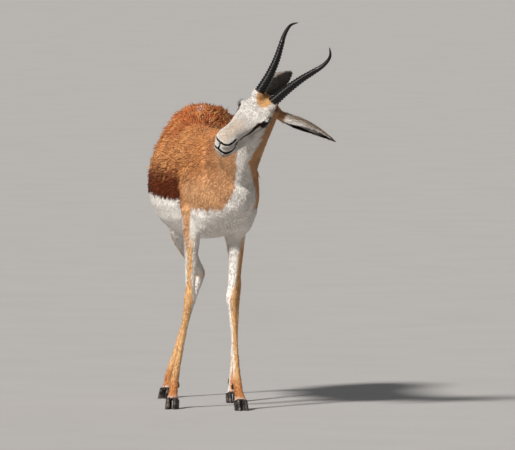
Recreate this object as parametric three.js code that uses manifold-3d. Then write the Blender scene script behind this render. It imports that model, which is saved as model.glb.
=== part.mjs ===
// A life-size springbok, standing with its neck stretched forward and its head turned and tilted.
// Millimetres, +Z up. The animal faces -Y and its own left side is +X.
// The origin is the middle of the foot of its bounding box, at floor level.
import * as THREE from 'three';
import { mergeVertices } from 'three/addons/utils/BufferGeometryUtils.js';
import Module from 'manifold-3d';

const wasm = await Module();
wasm.setup();

// Driving dimensions
const GAP = 0.3;
const WITHERS = 757;
const CROUP = 818;
const BELLY = 449;
const CHEST = 466;
const BARREL_HALF = 142;
const SHOULDER_HALF = 103;
const TRUNK_FRONT = -345;
const TRUNK_BACK = 458;
const BODY_LEAN = 14;
const HEAD_AT = [99, -510, 811];
const HEAD_TURN = 51.8;
const HEAD_NOD = 27;
const HEAD_TILT = 40.1;
const MUZZLE_HALF = 26;
const BROW_HALF = 45;
const EYE_RADIUS = 14.5;
const EYE_OUT = 34.5;
const EYE_DOWN = 5;
const LID_HALF_LENGTH = 12.5;
const LID_HALF_HEIGHT = 7.8;
const HORN_RADIUS = 14.3;
const HORN_RISE = 210;
const HORN_ROOT_OUT = 23.5;
const HORN_WIDEST_OUT = 73;
const HORN_TIP_OUT = 56;
const HORN_LEAN = 50;
const HORN_RINGS = 15;
const HORN_RINGED_PART = 0.66;
const EAR_LENGTH = 166;
const EAR_HALF = 25.5;
const EAR_WALL = 3.2;
const KNEE_HEIGHT = 300;
const FETLOCK_HEIGHT = 66;
const CORONET_HEIGHT = 25;
const HOOF_LENGTH = 50;
const CLAW_WIDTH = 18.5;
const CLAW_SPLIT = 1.2;
const TAIL_ROOT = [46, 432, 748];
const TAIL_DROP = 210;
const TUFT_LOCKS = 14;

const COAT_FAWN = 0xc08a57;
const COAT_WHITE = 0xe6e0d6;
const HORN_BLACK = 0x23201f;
const HOOF_GREY = 0x37332f;
const EYE_BROWN = 0x1c120c;

const LEFT = new THREE.Vector3(1, 0, 0);

function vector(x, y, z) {
  return new THREE.Vector3(x, y, z);
}

function radians(degrees) {
  return THREE.MathUtils.degToRad(degrees);
}

// A closed solid from a geometry whose seam and poles are merged, faces pointing out
function solidOf(geometry) {
  geometry.deleteAttribute('normal');
  geometry.deleteAttribute('uv');
  const merged = mergeVertices(geometry, 1e-4);
  const mesh = new wasm.Mesh({
    numProp: 3,
    vertProperties: Float32Array.from(merged.attributes.position.array),
    triVerts: Uint32Array.from(merged.index.array),
  });
  return new wasm.Manifold(mesh);
}

// Six times the volume that a triangle mesh encloses, negative when it is inside out
function signedVolume(geometry) {
  const corner = [vector(0, 0, 0), vector(0, 0, 0), vector(0, 0, 0)];
  let sum = 0;
  for (let first = 0; first < geometry.index.count; first += 3) {
    for (let step = 0; step < 3; step += 1) {
      corner[step].fromBufferAttribute(geometry.attributes.position, geometry.index.getX(first + step));
    }
    sum += corner[0].dot(corner[1].clone().cross(corner[2]));
  }
  return sum;
}

// A sphere's net of rings and sides, each point laid where pointAt(along, side, pole) says
function loft(sides, rings, pointAt) {
  const geometry = new THREE.SphereGeometry(1, sides, rings + 2);
  const position = geometry.attributes.position;
  for (let row = 0; row <= rings + 2; row += 1) {
    const pole = row === 0 || row === rings + 2;
    const along = THREE.MathUtils.clamp((row - 1) / rings, 0, 1);
    for (let side = 0; side <= sides; side += 1) {
      const point = pointAt(along, side % sides, pole);
      position.setXYZ(row * (sides + 1) + side, point.x, point.y, point.z);
    }
  }
  if (signedVolume(geometry) < 0) {
    geometry.index.array.reverse();
  }
  return solidOf(geometry);
}

// A rounded body through stations of [x, y, z, half width, depth over, depth under, squareness over].
// Over is the side that the left-hand side crossed with the run of the body points to.
function bodyOf(stations, options) {
  const { sides = 12, rings = 16, sideAt = () => LEFT, over = 2, under = 2 } = options;
  const middle = new THREE.CatmullRomCurve3(
    stations.map((row) => vector(row[0], row[1], row[2])), false, 'catmullrom', 0.5);
  const size = new THREE.CatmullRomCurve3(
    stations.map((row) => vector(row[3], row[4], row[5])), false, 'catmullrom', 0.5);
  const square = new THREE.CatmullRomCurve3(
    stations.map((row, index) => vector(row[6] ?? over, index, 0)), false, 'catmullrom', 0.5);
  return loft(sides, rings, (along, side, pole) => {
    const point = middle.getPoint(along);
    if (pole) {
      return point;
    }
    const run = middle.getTangent(along);
    const across = sideAt(along, point).clone();
    across.addScaledVector(run, -across.dot(run)).normalize();
    const rise = across.clone().cross(run);
    const extent = size.getPoint(along);
    const angle = (side / sides) * 2 * Math.PI;
    const power = Math.sin(angle) > 0 ? 2 / square.getPoint(along).x : 2 / under;
    const reach = Math.sign(Math.cos(angle)) * Math.abs(Math.cos(angle)) ** power;
    const lift = Math.sign(Math.sin(angle)) * Math.abs(Math.sin(angle)) ** power;
    point.addScaledVector(across, reach * extent.x);
    point.addScaledVector(rise, lift * (lift > 0 ? extent.y : extent.z));
    return point;
  });
}

// A stretched ball, for the swell of a muscle or the hollow of a socket
function ball(centre, radii, sides = 16, rings = 10) {
  const geometry = new THREE.SphereGeometry(1, sides, rings);
  geometry.scale(radii[0], radii[1], radii[2]);
  geometry.translate(centre.x, centre.y, centre.z);
  return solidOf(geometry);
}

// A box whose own Z is turned to face along a direction
function block(centre, facing, across, size) {
  const geometry = new THREE.BoxGeometry(size[0], size[1], size[2]);
  const depth = facing.clone().normalize();
  const wide = across.clone().addScaledVector(depth, -across.dot(depth)).normalize();
  const tall = depth.clone().cross(wide);
  geometry.applyMatrix4(new THREE.Matrix4().makeBasis(wide, tall, depth));
  geometry.translate(centre.x, centre.y, centre.z);
  return solidOf(geometry);
}

function union(solids) {
  return solids.reduce((whole, next) => whole.add(next));
}

// The head's frame: nose along its own -Y, crown along its own +Z
const headFrame = new THREE.Matrix4().makeRotationFromEuler(
  new THREE.Euler(radians(HEAD_NOD), radians(HEAD_TILT), radians(-HEAD_TURN), 'ZXY'));
headFrame.setPosition(HEAD_AT[0], HEAD_AT[1], HEAD_AT[2]);

function placedOnHead(solid) {
  return solid.transform(headFrame.elements);
}

function headPoint(x, y, z) {
  return vector(x, y, z).applyMatrix4(headFrame);
}

function headDirection(x, y, z) {
  return vector(x, y, z).transformDirection(headFrame);
}

// Trunk, from the breast to the buttocks
function trunk() {
  const lean = BODY_LEAN;
  const stations = [
    [lean + 37, TRUNK_FRONT, 572, 24, 22, 22, 2.1],
    [lean + 37, TRUNK_FRONT + 12, 573, 50, 48, 44, 2.1],
    [lean + 34, -303, 576, 76, 86, 76, 2.1],
    [lean + 31, -260, 580, 92, 138, 104, 2.1],
    [lean + 27, -200, 583, SHOULDER_HALF, WITHERS - 583, 583 - CHEST, 2.05],
    [lean + 14, -125, 585, 117, WITHERS - 585, 126, 1.95],
    [lean - 1, -45, 585, 132, 173, 132, 1.85],
    [lean - 10, 30, 585, BARREL_HALF - 1, 181, 135, 1.8],
    [lean - 11, 100, 587, BARREL_HALF, 190, 587 - BELLY, 1.8],
    [lean - 5, 170, 596, 139, 201, 133, 1.9],
    [lean + 6, 240, 611, 129, 204, 120, 2.1],
    [lean + 15, 305, 632, 117, CROUP - 632, 118, 2.4],
    [lean + 23, 362, 650, 103, 160, 112, 2.5],
    [lean + 30, 412, 661, 80, 108, 92, 2.3],
    [lean + 34, TRUNK_BACK - 12, 668, 46, 54, 52, 2.1],
    [lean + 35, TRUNK_BACK, 668, 20, 22, 22, 2],
  ];
  return bodyOf(stations, { sides: 20, rings: 20, over: 2.25, under: 2 });
}

// Shoulder blades and upper arms, which swell the trunk's front
function shoulders() {
  const blades = [-1, 1].map((hand) => {
    const out = BODY_LEAN + 27 + hand * 52;
    return bodyOf([
      [out - hand * 26, -150, 722, 24, 30, 30],
      [out - hand * 10, -180, 672, 40, 52, 52],
      [out, -215, 612, 47, 68, 70],
      [out + hand * 2, -232, 560, 44, 70, 72],
      [out - hand * 2, -212, 512, 34, 52, 56],
      [out - hand * 4, -200, 490, 26, 38, 38],
    ], { sides: 12, rings: 9 });
  });
  return union(blades);
}

// Neck, from the skull down and back into the shoulders, its sides turning with the head
function neck() {
  const headLeft = headDirection(1, 0, 0);
  const start = headPoint(0, 40, -20);
  const throat = headPoint(0, 47, -46);
  const stations = [
    [start.x, start.y, start.z, 32, 34, 34],
    [throat.x, throat.y, throat.z, 40, 48, 44],
    [110, -398, 757, 43, 55, 52],
    [93, -338, 713, 49, 67, 66],
    [70, -272, 668, 61, 88, 94],
    [52, -215, 635, 72, 98, 104],
    [42, -165, 618, 56, 76, 76],
  ];
  const sideAt = (along) => headLeft.clone().lerp(LEFT, Math.min(1, along * 1.5));
  return bodyOf(stations, { sides: 16, rings: 12, sideAt, over: 1.9, under: 1.9 });
}

// Skull and upper face, in the head's frame, from the nose to the back of the skull
function skull() {
  return bodyOf([
    [0, -131, -30, 11, 9, 12],
    [0, -127, -30, 20, 17, 20],
    [0, -116, -28, MUZZLE_HALF, 23, 24],
    [0, -100, -27, MUZZLE_HALF + 0.5, 27, 25],
    [0, -80, -25, 26, 28, 27],
    [0, -60, -22, 28.5, 28, 30],
    [0, -38, -18, 35, 29, 36],
    [0, -16, -12, 42, 30, 44],
    [0, 4, -8, BROW_HALF, 32, 50],
    [0, 28, -8, 44, 36, 52],
    [0, 50, -12, 39, 37, 46],
    [0, 68, -18, 30, 27, 34],
    [0, 80, -22, 15, 12, 15],
  ], { sides: 18, rings: 16, over: 2.4, under: 2.2 });
}

// Lower jaw, let down a little as the animal chews
function lowerJaw() {
  return bodyOf([
    [0, -125, -69, 13, 9, 11],
    [1, -116, -70, 22, 14, 18],
    [2, -99, -70, 24, 16, 20],
    [2, -72, -67, 26, 20, 27],
    [1, -38, -63, 30, 27, 35],
    [0, -2, -56, 36, 31, 43],
    [0, 28, -51, 37, 33, 45],
    [0, 48, -45, 28, 28, 32],
    [0, 59, -42, 14, 14, 14],
  ], { sides: 12, rings: 11, under: 2.2 });
}

// The line of the mouth, from one corner round the front to the other
function mouthLine(raise, swell) {
  const corner = [25.5, -86, -42];
  const cheek = [26, -103, -52];
  const turn = [19, -122, -57];
  const front = [0, -129, -50];
  const mirrored = [turn, cheek, corner].map(([x, y, z]) => [-x, y, z]);
  const route = [corner, cheek, turn, front, ...mirrored];
  return route.map(([x, y, z], place) => {
    const open = 1 - Math.abs(place - 3) / 4;
    return [x, y, z + raise, swell.deep * (0.6 + 0.4 * open), swell.tall * open, swell.tall * open];
  });
}

function inward(along, point) {
  return vector(-point.x, -96 - point.y, 0);
}

function lips() {
  const upper = bodyOf(mouthLine(5.5, { deep: 3.6, tall: 5.4 }), { sides: 6, rings: 14, sideAt: inward });
  const lower = bodyOf(mouthLine(-7.5, { deep: 3, tall: 4.8 }), { sides: 6, rings: 14, sideAt: inward });
  return upper.add(lower);
}

function mouthGroove() {
  return bodyOf(mouthLine(-1, { deep: 9, tall: 3 }), { sides: 6, rings: 14, sideAt: inward });
}

// The soft pad above the nostrils
function nosePad() {
  return ball(vector(0, -112, -18), [24, 17, 16], 12, 8);
}

// One nostril, a comma that runs back and up from beside the middle of the nose
function nostril(hand) {
  return bodyOf([
    [hand * 4, -130, -24, 5, 1.5, 1.5],
    [hand * 12, -127.5, -27, 6, 2.4, 2.4],
    [hand * 20, -118, -23, 6, 3, 3],
    [hand * 25, -106, -15, 4, 1.5, 1.5],
  ], { sides: 6, rings: 5, sideAt: () => vector(-hand * 0.6, 0.8, 0.1) });
}

function eyeCentre(hand) {
  return vector(hand * EYE_OUT, 0, -EYE_DOWN);
}

function eyeBall(hand, grow) {
  const radius = EYE_RADIUS + grow;
  return ball(eyeCentre(hand), [radius, radius, radius], 14, 10);
}

// Flesh that holds the eye, with the rim of its lids
function eyeLids(hand) {
  const centre = eyeCentre(hand);
  const swell = ball(centre, [EYE_RADIUS + 2, 22, 18], 12, 8);
  const rim = new THREE.TorusGeometry(1, 0.17, 5, 14);
  rim.scale(LID_HALF_LENGTH + 0.8, LID_HALF_HEIGHT + 0.8, 12);
  rim.rotateX(Math.PI / 2);
  rim.rotateZ(Math.PI / 2);
  rim.translate(centre.x + hand * (EYE_RADIUS - 3), centre.y, centre.z);
  return swell.add(solidOf(rim));
}

// The almond between the lids, cut from outside as far as the eye
function lidOpening(hand) {
  const cutter = new THREE.CylinderGeometry(1, 0.8, 30, 14);
  cutter.scale(LID_HALF_HEIGHT, 1, LID_HALF_LENGTH);
  cutter.rotateZ(-hand * Math.PI / 2);
  const centre = eyeCentre(hand);
  cutter.translate(centre.x + hand * 16, centre.y, centre.z);
  return solidOf(cutter);
}

// One horn, ringed below and smooth at the tip, bowing out and hooking in
function horn(hand, grow) {
  const lean = radians(HORN_LEAN);
  const up = vector(0, Math.sin(lean), Math.cos(lean));
  const back = vector(0, Math.cos(lean), -Math.sin(lean));
  const middle = (HORN_ROOT_OUT + HORN_WIDEST_OUT) / 2;
  const route = [
    [-0.1, HORN_ROOT_OUT - 3, -1],
    [0, HORN_ROOT_OUT, 0],
    [0.23, HORN_ROOT_OUT + 8.5, 4],
    [0.45, middle - 3.5, 6],
    [0.62, middle + 10.5, 6],
    [0.75, HORN_WIDEST_OUT - 3.5, 4.5],
    [0.86, HORN_WIDEST_OUT, 2],
    [0.93, HORN_WIDEST_OUT - 3.5, -2],
    [1, HORN_TIP_OUT, -7.5],
  ].map(([rise, out, bow]) => vector(hand * out, 40, 36)
    .addScaledVector(up, rise * HORN_RISE).addScaledVector(back, bow));
  const line = new THREE.CatmullRomCurve3(route, false, 'centripetal');
  const rows = HORN_RINGS * 2;
  const tipRows = 8;
  const sides = 9;
  return loft(sides, rows + tipRows, (along, side, pole) => {
    const row = Math.round(along * (rows + tipRows));
    const ringed = row < rows;
    const travel = ringed
      ? (row / rows) * HORN_RINGED_PART
      : HORN_RINGED_PART + ((row - rows) / tipRows) * (1 - HORN_RINGED_PART);
    const taper = HORN_RADIUS * Math.sqrt(1 - travel) * (1 - 0.25 * travel);
    const ridge = ringed && row % 2 === 1 ? 1.7 * (1 - 0.5 * travel) : 0;
    const radius = Math.max(taper, 0.9) + ridge + grow;
    const point = line.getPointAt(travel);
    const run = line.getTangentAt(travel);
    if (pole) {
      return point.addScaledVector(run, along > 0.5 ? grow + 1.5 : -grow);
    }
    const across = vector(1, 0, 0).addScaledVector(run, -run.x).normalize();
    const depth = across.clone().cross(run);
    const angle = (side / sides) * 2 * Math.PI;
    point.addScaledVector(across, Math.cos(angle) * radius * 0.94);
    point.addScaledVector(depth, Math.sin(angle) * radius * 1.06);
    return point;
  });
}

// One ear, a leaf rolled into a tube at its root and open towards its tip
function ear(root, along, opening, grow) {
  const out = along.clone().normalize();
  const front = opening.clone().addScaledVector(out, -opening.dot(out)).normalize();
  const across = out.clone().cross(front);
  // Share of the length, half width, depth of the cup, how far the edges wrap in degrees
  const leaf = [
    [0.02, 0.5, 0.56, 150],
    [0.14, 0.56, 0.6, 142],
    [0.3, 0.82, 0.74, 122],
    [0.46, 1, 0.76, 104],
    [0.62, 0.95, 0.64, 92],
    [0.77, 0.72, 0.46, 86],
    [0.9, 0.4, 0.26, 80],
    [1, 0.06, 0.08, 70],
  ];
  const place = new THREE.CatmullRomCurve3(
    leaf.map((row) => vector(row[0], row[1], row[2])), false, 'catmullrom', 0.5);
  const wrap = new THREE.CatmullRomCurve3(
    leaf.map((row) => vector(row[0], row[3], 0)), false, 'catmullrom', 0.5);
  const sides = 12;
  const shell = loft(sides, 10, (share, side, pole) => {
    const shape = place.getPoint(share);
    const reach = shape.x * EAR_LENGTH + (pole && share > 0.5 ? 2 + grow : 0);
    const half = shape.y * EAR_HALF + grow;
    const deep = shape.z * EAR_HALF + grow;
    const wall = Math.min(EAR_WALL, half * 0.7) + 2 * grow;
    const spread = radians(wrap.getPoint(share).y) + grow / half;
    const inner = side > sides / 2;
    const round = side / (sides / 4);
    const swing = inner ? spread * (3 - round) : spread * (round - 1);
    const thin = inner ? wall : 0;
    const point = root.clone().addScaledVector(out, reach);
    if (pole) {
      return point.addScaledVector(front, -deep + wall / 2);
    }
    point.addScaledVector(across, Math.sin(swing) * (half - thin));
    point.addScaledVector(front, -Math.cos(swing) * (deep - thin));
    return point;
  });
  const stem = bodyOf([-10, -4, 8, 22, 30].map((reach, index) => {
    const point = root.clone().addScaledVector(out, reach + (index < 2 ? -grow : grow * (index > 3)));
    const girth = [8, 12.5, 14, 12.5, 8][index] + grow;
    return [point.x, point.y, point.z, girth, girth, girth];
  }), { sides: 8, rings: 5, sideAt: () => across });
  return shell.add(stem);
}

// One leg down to its coronet, its sides turning towards the toes
function leg(stations, toeOut) {
  const toeSide = vector(Math.cos(radians(toeOut)), -Math.sin(radians(toeOut)), 0);
  return bodyOf(stations, {
    sides: 10,
    rings: (stations.length - 1) * 2,
    sideAt: (along) => LEFT.clone().lerp(toeSide, along),
  });
}

function foreLeg({ elbow, knee, fetlock, coronet, toeOut }) {
  const between = (a, b, share) => a.map((value, axis) => value + (b[axis] - value) * share);
  return leg([
    [elbow[0], elbow[1] - 6, elbow[2] + 60, 34, 44, 44],
    [...elbow, 29, 38, 34],
    [...between(elbow, knee, 0.28), 20.5, 27, 25],
    [...between(elbow, knee, 0.6), 16, 18, 18],
    [...between(elbow, knee, 0.86), 14.5, 14.5, 15.5],
    [...knee, 17, 15.5, 19],
    [...between(knee, fetlock, 0.12), 13.5, 14, 15],
    [...between(knee, fetlock, 0.4), 10, 12, 11.5],
    [...between(knee, fetlock, 0.8), 10.2, 13, 12],
    [...fetlock, 13.2, 17, 14],
    [...between(fetlock, coronet, 0.55), 12.6, 14, 12.6],
    [...coronet, 17.5, 19, 18],
    [coronet[0], coronet[1] - 4, coronet[2] - 14, 17.5, 18, 18],
  ], toeOut);
}

function hindLeg({ hip, thigh, stifle, gaskin, hock, fetlock, coronet, toeOut }) {
  const between = (a, b, share) => a.map((value, axis) => value + (b[axis] - value) * share);
  return leg([
    [...hip, 46, 66, 58],
    [...thigh, 54, 92, 84],
    [...between(thigh, stifle, 0.6), 49, 88, 72],
    [...stifle, 38, 66, 54],
    [...gaskin, 26, 41, 39],
    [...between(gaskin, hock, 0.55), 17.5, 25, 23],
    [...between(gaskin, hock, 0.86), 14, 22, 17],
    [...hock, 15.5, 22, 17],
    [...between(hock, fetlock, 0.14), 12.8, 16, 15.5],
    [...between(hock, fetlock, 0.42), 10.2, 13, 12],
    [...between(hock, fetlock, 0.82), 10.2, 13, 12],
    [...fetlock, 12.8, 16.5, 14],
    [...between(fetlock, coronet, 0.55), 12.2, 13.6, 12.2],
    [...coronet, 16.5, 18, 17],
    [coronet[0], coronet[1] - 4, coronet[2] - 14, 16.5, 17, 17],
  ], toeOut);
}

// Where each leg stands. Toe out is the turn of the toes to the animal's right, in degrees.
const LEGS = {
  leg_front_right: {
    build: foreLeg,
    elbow: [-42, -196, 486], knee: [-47, -186, KNEE_HEIGHT], fetlock: [-87, -152, FETLOCK_HEIGHT + 4],
    coronet: [-93, -174, CORONET_HEIGHT], toeOut: 12,
  },
  leg_front_left: {
    build: foreLeg,
    elbow: [82, -196, 490], knee: [63, -226, KNEE_HEIGHT + 4], fetlock: [78, -236, FETLOCK_HEIGHT + 4],
    coronet: [84, -260, CORONET_HEIGHT], toeOut: -10,
  },
  leg_hind_right: {
    build: hindLeg,
    hip: [-22, 330, 716], thigh: [-40, 315, 640], stifle: [-42, 262, 505], gaskin: [-28, 318, 446],
    hock: [31, 428, 340], fetlock: [-59, 368, FETLOCK_HEIGHT - 4],
    coronet: [-67, 346, CORONET_HEIGHT], toeOut: 28,
  },
  leg_hind_left: {
    build: hindLeg,
    hip: [82, 320, 716], thigh: [96, 285, 640], stifle: [102, 192, 502], gaskin: [110, 208, 432],
    hock: [117, 262, 316], fetlock: [99, 142, FETLOCK_HEIGHT - 4],
    coronet: [94, 116, CORONET_HEIGHT], toeOut: -4,
  },
};

function toeDirection(toeOut) {
  return vector(-Math.sin(radians(toeOut)), -Math.cos(radians(toeOut)), 0);
}

// The plane on which a foot's flesh sits on its two claws, higher in front
function coronetPlane(legSizes) {
  const toe = toeDirection(legSizes.toeOut);
  const up = vector(0, 0, 1).addScaledVector(toe, -0.3).normalize();
  return { toe, up, centre: vector(...legSizes.coronet) };
}

// One claw of a hoof: a flat sole on the floor, a sloping front wall and a sloping top
function claw(legSizes, hand) {
  const { toe, up, centre } = coronetPlane(legSizes);
  const side = vector(-toe.y, toe.x, 0);
  const middle = hand * (CLAW_WIDTH / 2 + CLAW_SPLIT / 2);
  const levels = 3;
  const sides = 10;
  return loft(sides, levels, (along, index, pole) => {
    const angle = (index / sides) * 2 * Math.PI;
    const grown = 1 - along;
    const half = (CLAW_WIDTH / 2) * (0.92 + 0.08 * grown);
    const reach = HOOF_LENGTH * (0.36 + 0.14 * grown);
    const forward = Math.cos(angle) * reach + 14 * grown;
    const narrow = Math.cos(angle) > 0 ? 1 - 0.45 * Math.cos(angle) ** 2 * (0.5 + 0.5 * grown) : 1;
    const point = vector(centre.x, centre.y, 0);
    if (!pole) {
      point.addScaledVector(toe, forward);
      point.addScaledVector(side, middle + Math.sin(angle) * half * narrow);
    } else {
      point.addScaledVector(toe, 14 * grown);
      point.addScaledVector(side, middle);
    }
    const from = point.clone().sub(centre);
    const top = centre.z - (from.x * up.x + from.y * up.y) / up.z;
    point.z = along * top;
    return point;
  });
}

// A small horny button behind the fetlock
function dewClaw(legSizes, hand, grow) {
  const toe = toeDirection(legSizes.toeOut);
  const side = vector(-toe.y, toe.x, 0);
  const root = vector(...legSizes.fetlock).addScaledVector(side, hand * 7.5).addScaledVector(toe, -9);
  const tip = root.clone().addScaledVector(toe, -10).addScaledVector(side, hand * 1.5);
  tip.z -= 15;
  const stations = [0, 0.45, 0.8, 1].map((share, index) => {
    const point = root.clone().lerp(tip, share + (index === 3 ? grow * 0.05 : 0));
    const girth = [5, 5.4, 4.2, 1.8][index] + grow;
    return [point.x, point.y, point.z, girth, girth, girth];
  });
  return bodyOf(stations, { sides: 6, rings: 3, sideAt: () => side });
}

// Tail, hanging straight down, with a tuft of tapered locks over its lower half
function tail() {
  const [x, y, z] = TAIL_ROOT;
  const core = bodyOf([
    [x - 2, y - 30, z - 4, 20, 16, 22],
    [x, y, z - 2, 17, 12, 20],
    [x + 2, y + 34, z - 24, 11, 9, 12],
    [x + 4, y + 53, z - 70, 8, 7.5, 7.5],
    [x + 5, y + 53, z - 130, 6.5, 6, 6],
    [x + 5, y + 50, z - 180, 4.5, 4.5, 4.5],
    [x + 5, y + 48, z - TAIL_DROP, 2, 2, 2],
  ], { sides: 8, rings: 10 });
  const locks = [];
  for (let index = 0; index < TUFT_LOCKS; index += 1) {
    const turn = index * 2.4;
    const drop = 105 + (index / TUFT_LOCKS) * 75;
    const away = vector(Math.cos(turn), Math.sin(turn), 0);
    const root = vector(x + 5, y + 52, z - drop);
    const length = 58 + 10 * Math.sin(index * 1.7);
    locks.push(bodyOf([
      [root.x, root.y, root.z, 4, 2.2, 2.2],
      [root.x + away.x * 7, root.y + away.y * 7, root.z - length * 0.35, 5.6, 2.4, 2.4],
      [root.x + away.x * 8, root.y + away.y * 8, root.z - length * 0.7, 4.2, 1.8, 1.8],
      [root.x + away.x * 4, root.y + away.y * 4, root.z - length, 0.9, 0.6, 0.6],
    ], { sides: 5, rings: 4, sideAt: () => vector(-away.y, away.x, 0) }));
  }
  return union([core, ...locks]);
}

const HANDS = { left: 1, right: -1 };

// Ears: where each is rooted on the head, where it points and where its cup opens
const EARS = {
  left: {
    root: vector(45, 57, -12),
    along: vector(0.952, 0.306, -0.013),
    opening: vector(0.25, -0.7, -0.62),
  },
  right: {
    root: vector(-37, 58, -7),
    along: vector(-0.07, 0.98, -0.17),
    opening: vector(-0.4, 0, -0.9),
  },
};

function earOf(name, grow) {
  const { root, along, opening } = EARS[name];
  return placedOnHead(ear(root, along, opening, grow));
}

// The whole animal of flesh, with pockets for what is of horn or glassy
let head = union([skull(), lowerJaw(), nosePad(), lips()]);
for (const hand of Object.values(HANDS)) {
  head = head.add(eyeLids(hand));
}
head = head.subtract(mouthGroove());
for (const hand of Object.values(HANDS)) {
  head = head.subtract(eyeBall(hand, GAP)).subtract(lidOpening(hand)).subtract(nostril(hand));
}
let flesh = union([trunk(), shoulders(), neck(), tail()]);
for (const sizes of Object.values(LEGS)) {
  flesh = flesh.add(sizes.build(sizes));
}
flesh = flesh.add(placedOnHead(head));
for (const hand of Object.values(HANDS)) {
  flesh = flesh.subtract(placedOnHead(lidOpening(hand)));
}
for (const [name, hand] of Object.entries(HANDS)) {
  flesh = flesh.subtract(placedOnHead(horn(hand, GAP))).subtract(earOf(name, GAP));
}
const nodes = {};
for (const [name, sizes] of Object.entries(LEGS)) {
  const { toe, up, centre } = coronetPlane(sizes);
  const floor = centre.clone().addScaledVector(up, GAP - 20);
  flesh = flesh.subtract(block(floor, up, toe, [140, 140, 40]));
  const outerHand = name.endsWith('left') ? 1 : -1;
  for (const [which, hand] of Object.entries({ inner: -outerHand, outer: outerHand })) {
    flesh = flesh.subtract(dewClaw(sizes, hand, GAP));
    const hoofName = name.replace('leg', 'hoof') + '_' + which;
    const dewName = name.replace('leg', 'dewclaw') + '_' + which;
    nodes[hoofName] = { solid: claw(sizes, hand), colour: HOOF_GREY, roughness: 0.6 };
    nodes[dewName] = { solid: dewClaw(sizes, hand, 0), colour: HOOF_GREY, roughness: 0.6 };
  }
}

// Thin cuts that part the flesh where a person would name its parts
const tailCut = vector(...TAIL_ROOT).add(vector(2, 36, -26));
const CUTS = [
  { at: headPoint(0, 52, -77), facing: headDirection(0, 0.5, -0.87), wide: 130, tall: 180 },
  { at: vector(64, -268, 662), facing: vector(-0.25, 0.8, -0.55), wide: 230, tall: 290 },
  { at: tailCut, facing: vector(0, 0.75, -0.65), wide: 50, tall: 44 },
  { at: vector(-44, -194, 450), facing: vector(0, 0, 1), wide: 90, tall: 130 },
  { at: vector(84, -196, 450), facing: vector(0, 0, 1), wide: 90, tall: 130 },
  { at: vector(-44, 275, 484), facing: vector(0, -0.35, 0.9), wide: 120, tall: 230 },
  { at: vector(108, 196, 462), facing: vector(0, -0.25, 0.95), wide: 80, tall: 150 },
];
for (const [index, { at, facing, wide, tall }] of CUTS.entries()) {
  const across = index === 0 ? headDirection(1, 0, 0) : LEFT;
  flesh = flesh.subtract(block(at, facing, across, [wide, tall, GAP]));
}

// A point well inside each part of the flesh tells which closed piece is which
const SEEDS = {
  torso: vector(20, 60, 600),
  neck: vector(98, -370, 735),
  head: headPoint(0, -60, -25),
  tail: vector(TAIL_ROOT[0] + 4, TAIL_ROOT[1] + 53, TAIL_ROOT[2] - 80),
};
for (const [name, sizes] of Object.entries(LEGS)) {
  SEEDS[name] = vector(...sizes.fetlock);
}
const pieces = flesh.decompose();
for (const [name, seed] of Object.entries(SEEDS)) {
  const probe = ball(seed, [4, 4, 4], 8, 6);
  const found = pieces.filter((piece) => piece.intersect(probe).volume() > 50);
  const largest = found.sort((a, b) => b.volume() - a.volume())[0];
  nodes[name] = { solid: largest, colour: name.includes('leg') ? COAT_WHITE : COAT_FAWN, roughness: 0.9 };
}
for (const [name, hand] of Object.entries(HANDS)) {
  nodes['ear_' + name] = { solid: earOf(name, 0), colour: COAT_WHITE, roughness: 0.9 };
  nodes['eye_' + name] = { solid: placedOnHead(eyeBall(hand, 0)), colour: EYE_BROWN, roughness: 0.1 };
  nodes['horn_' + name] = { solid: placedOnHead(horn(hand, 0)), colour: HORN_BLACK, roughness: 0.45 };
}

// Back to named three.js meshes, moved so that the origin is under the middle of the box
const springbok = new THREE.Group();
for (const [name, { solid, colour, roughness }] of Object.entries(nodes)) {
  const surface = solid.getMesh();
  const geometry = new THREE.BufferGeometry();
  geometry.setAttribute('position', new THREE.BufferAttribute(surface.vertProperties, 3));
  geometry.setIndex(new THREE.BufferAttribute(surface.triVerts, 1));
  const material = new THREE.MeshStandardMaterial({ color: colour, roughness, metalness: 0 });
  const mesh = new THREE.Mesh(geometry, material);
  mesh.name = name;
  springbok.add(mesh);
}
const bounds = new THREE.Box3().setFromObject(springbok);
const middle = bounds.getCenter(new THREE.Vector3());
springbok.position.set(-middle.x, -middle.y, -bounds.min.z);
springbok.updateMatrixWorld(true);

export default springbok;
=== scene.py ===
# %% [markdown]
# # A springbok, dressed around its imported solids
# The solids give the animal's size, pose and outline. This lesson lays one skin inside them,
# works the head finer, paints the markings once for skin and coat alike, and then grows the
# coat as more than a hundred thousand small closed locks that follow the lie of the hair.
# We start by loading the solids.

# %% Load the imported solids
import math

import bmesh
import bpy
import numpy as np
from mathutils import Matrix, Vector
from mathutils.bvhtree import BVHTree


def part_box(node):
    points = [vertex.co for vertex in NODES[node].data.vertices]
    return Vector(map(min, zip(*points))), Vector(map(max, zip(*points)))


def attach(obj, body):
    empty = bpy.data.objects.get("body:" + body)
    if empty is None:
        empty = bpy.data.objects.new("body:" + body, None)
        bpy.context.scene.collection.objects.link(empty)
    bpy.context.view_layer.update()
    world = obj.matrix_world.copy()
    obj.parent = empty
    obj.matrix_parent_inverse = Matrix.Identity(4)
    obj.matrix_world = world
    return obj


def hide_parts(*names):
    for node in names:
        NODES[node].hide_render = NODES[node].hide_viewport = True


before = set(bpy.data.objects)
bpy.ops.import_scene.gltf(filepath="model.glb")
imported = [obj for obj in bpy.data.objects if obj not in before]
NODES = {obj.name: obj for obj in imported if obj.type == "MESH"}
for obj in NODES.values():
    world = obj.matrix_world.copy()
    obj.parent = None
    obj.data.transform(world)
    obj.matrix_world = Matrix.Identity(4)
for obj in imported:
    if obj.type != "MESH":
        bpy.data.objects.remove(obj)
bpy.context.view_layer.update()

MM = 0.001
print("solids loaded:", len(NODES))

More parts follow.
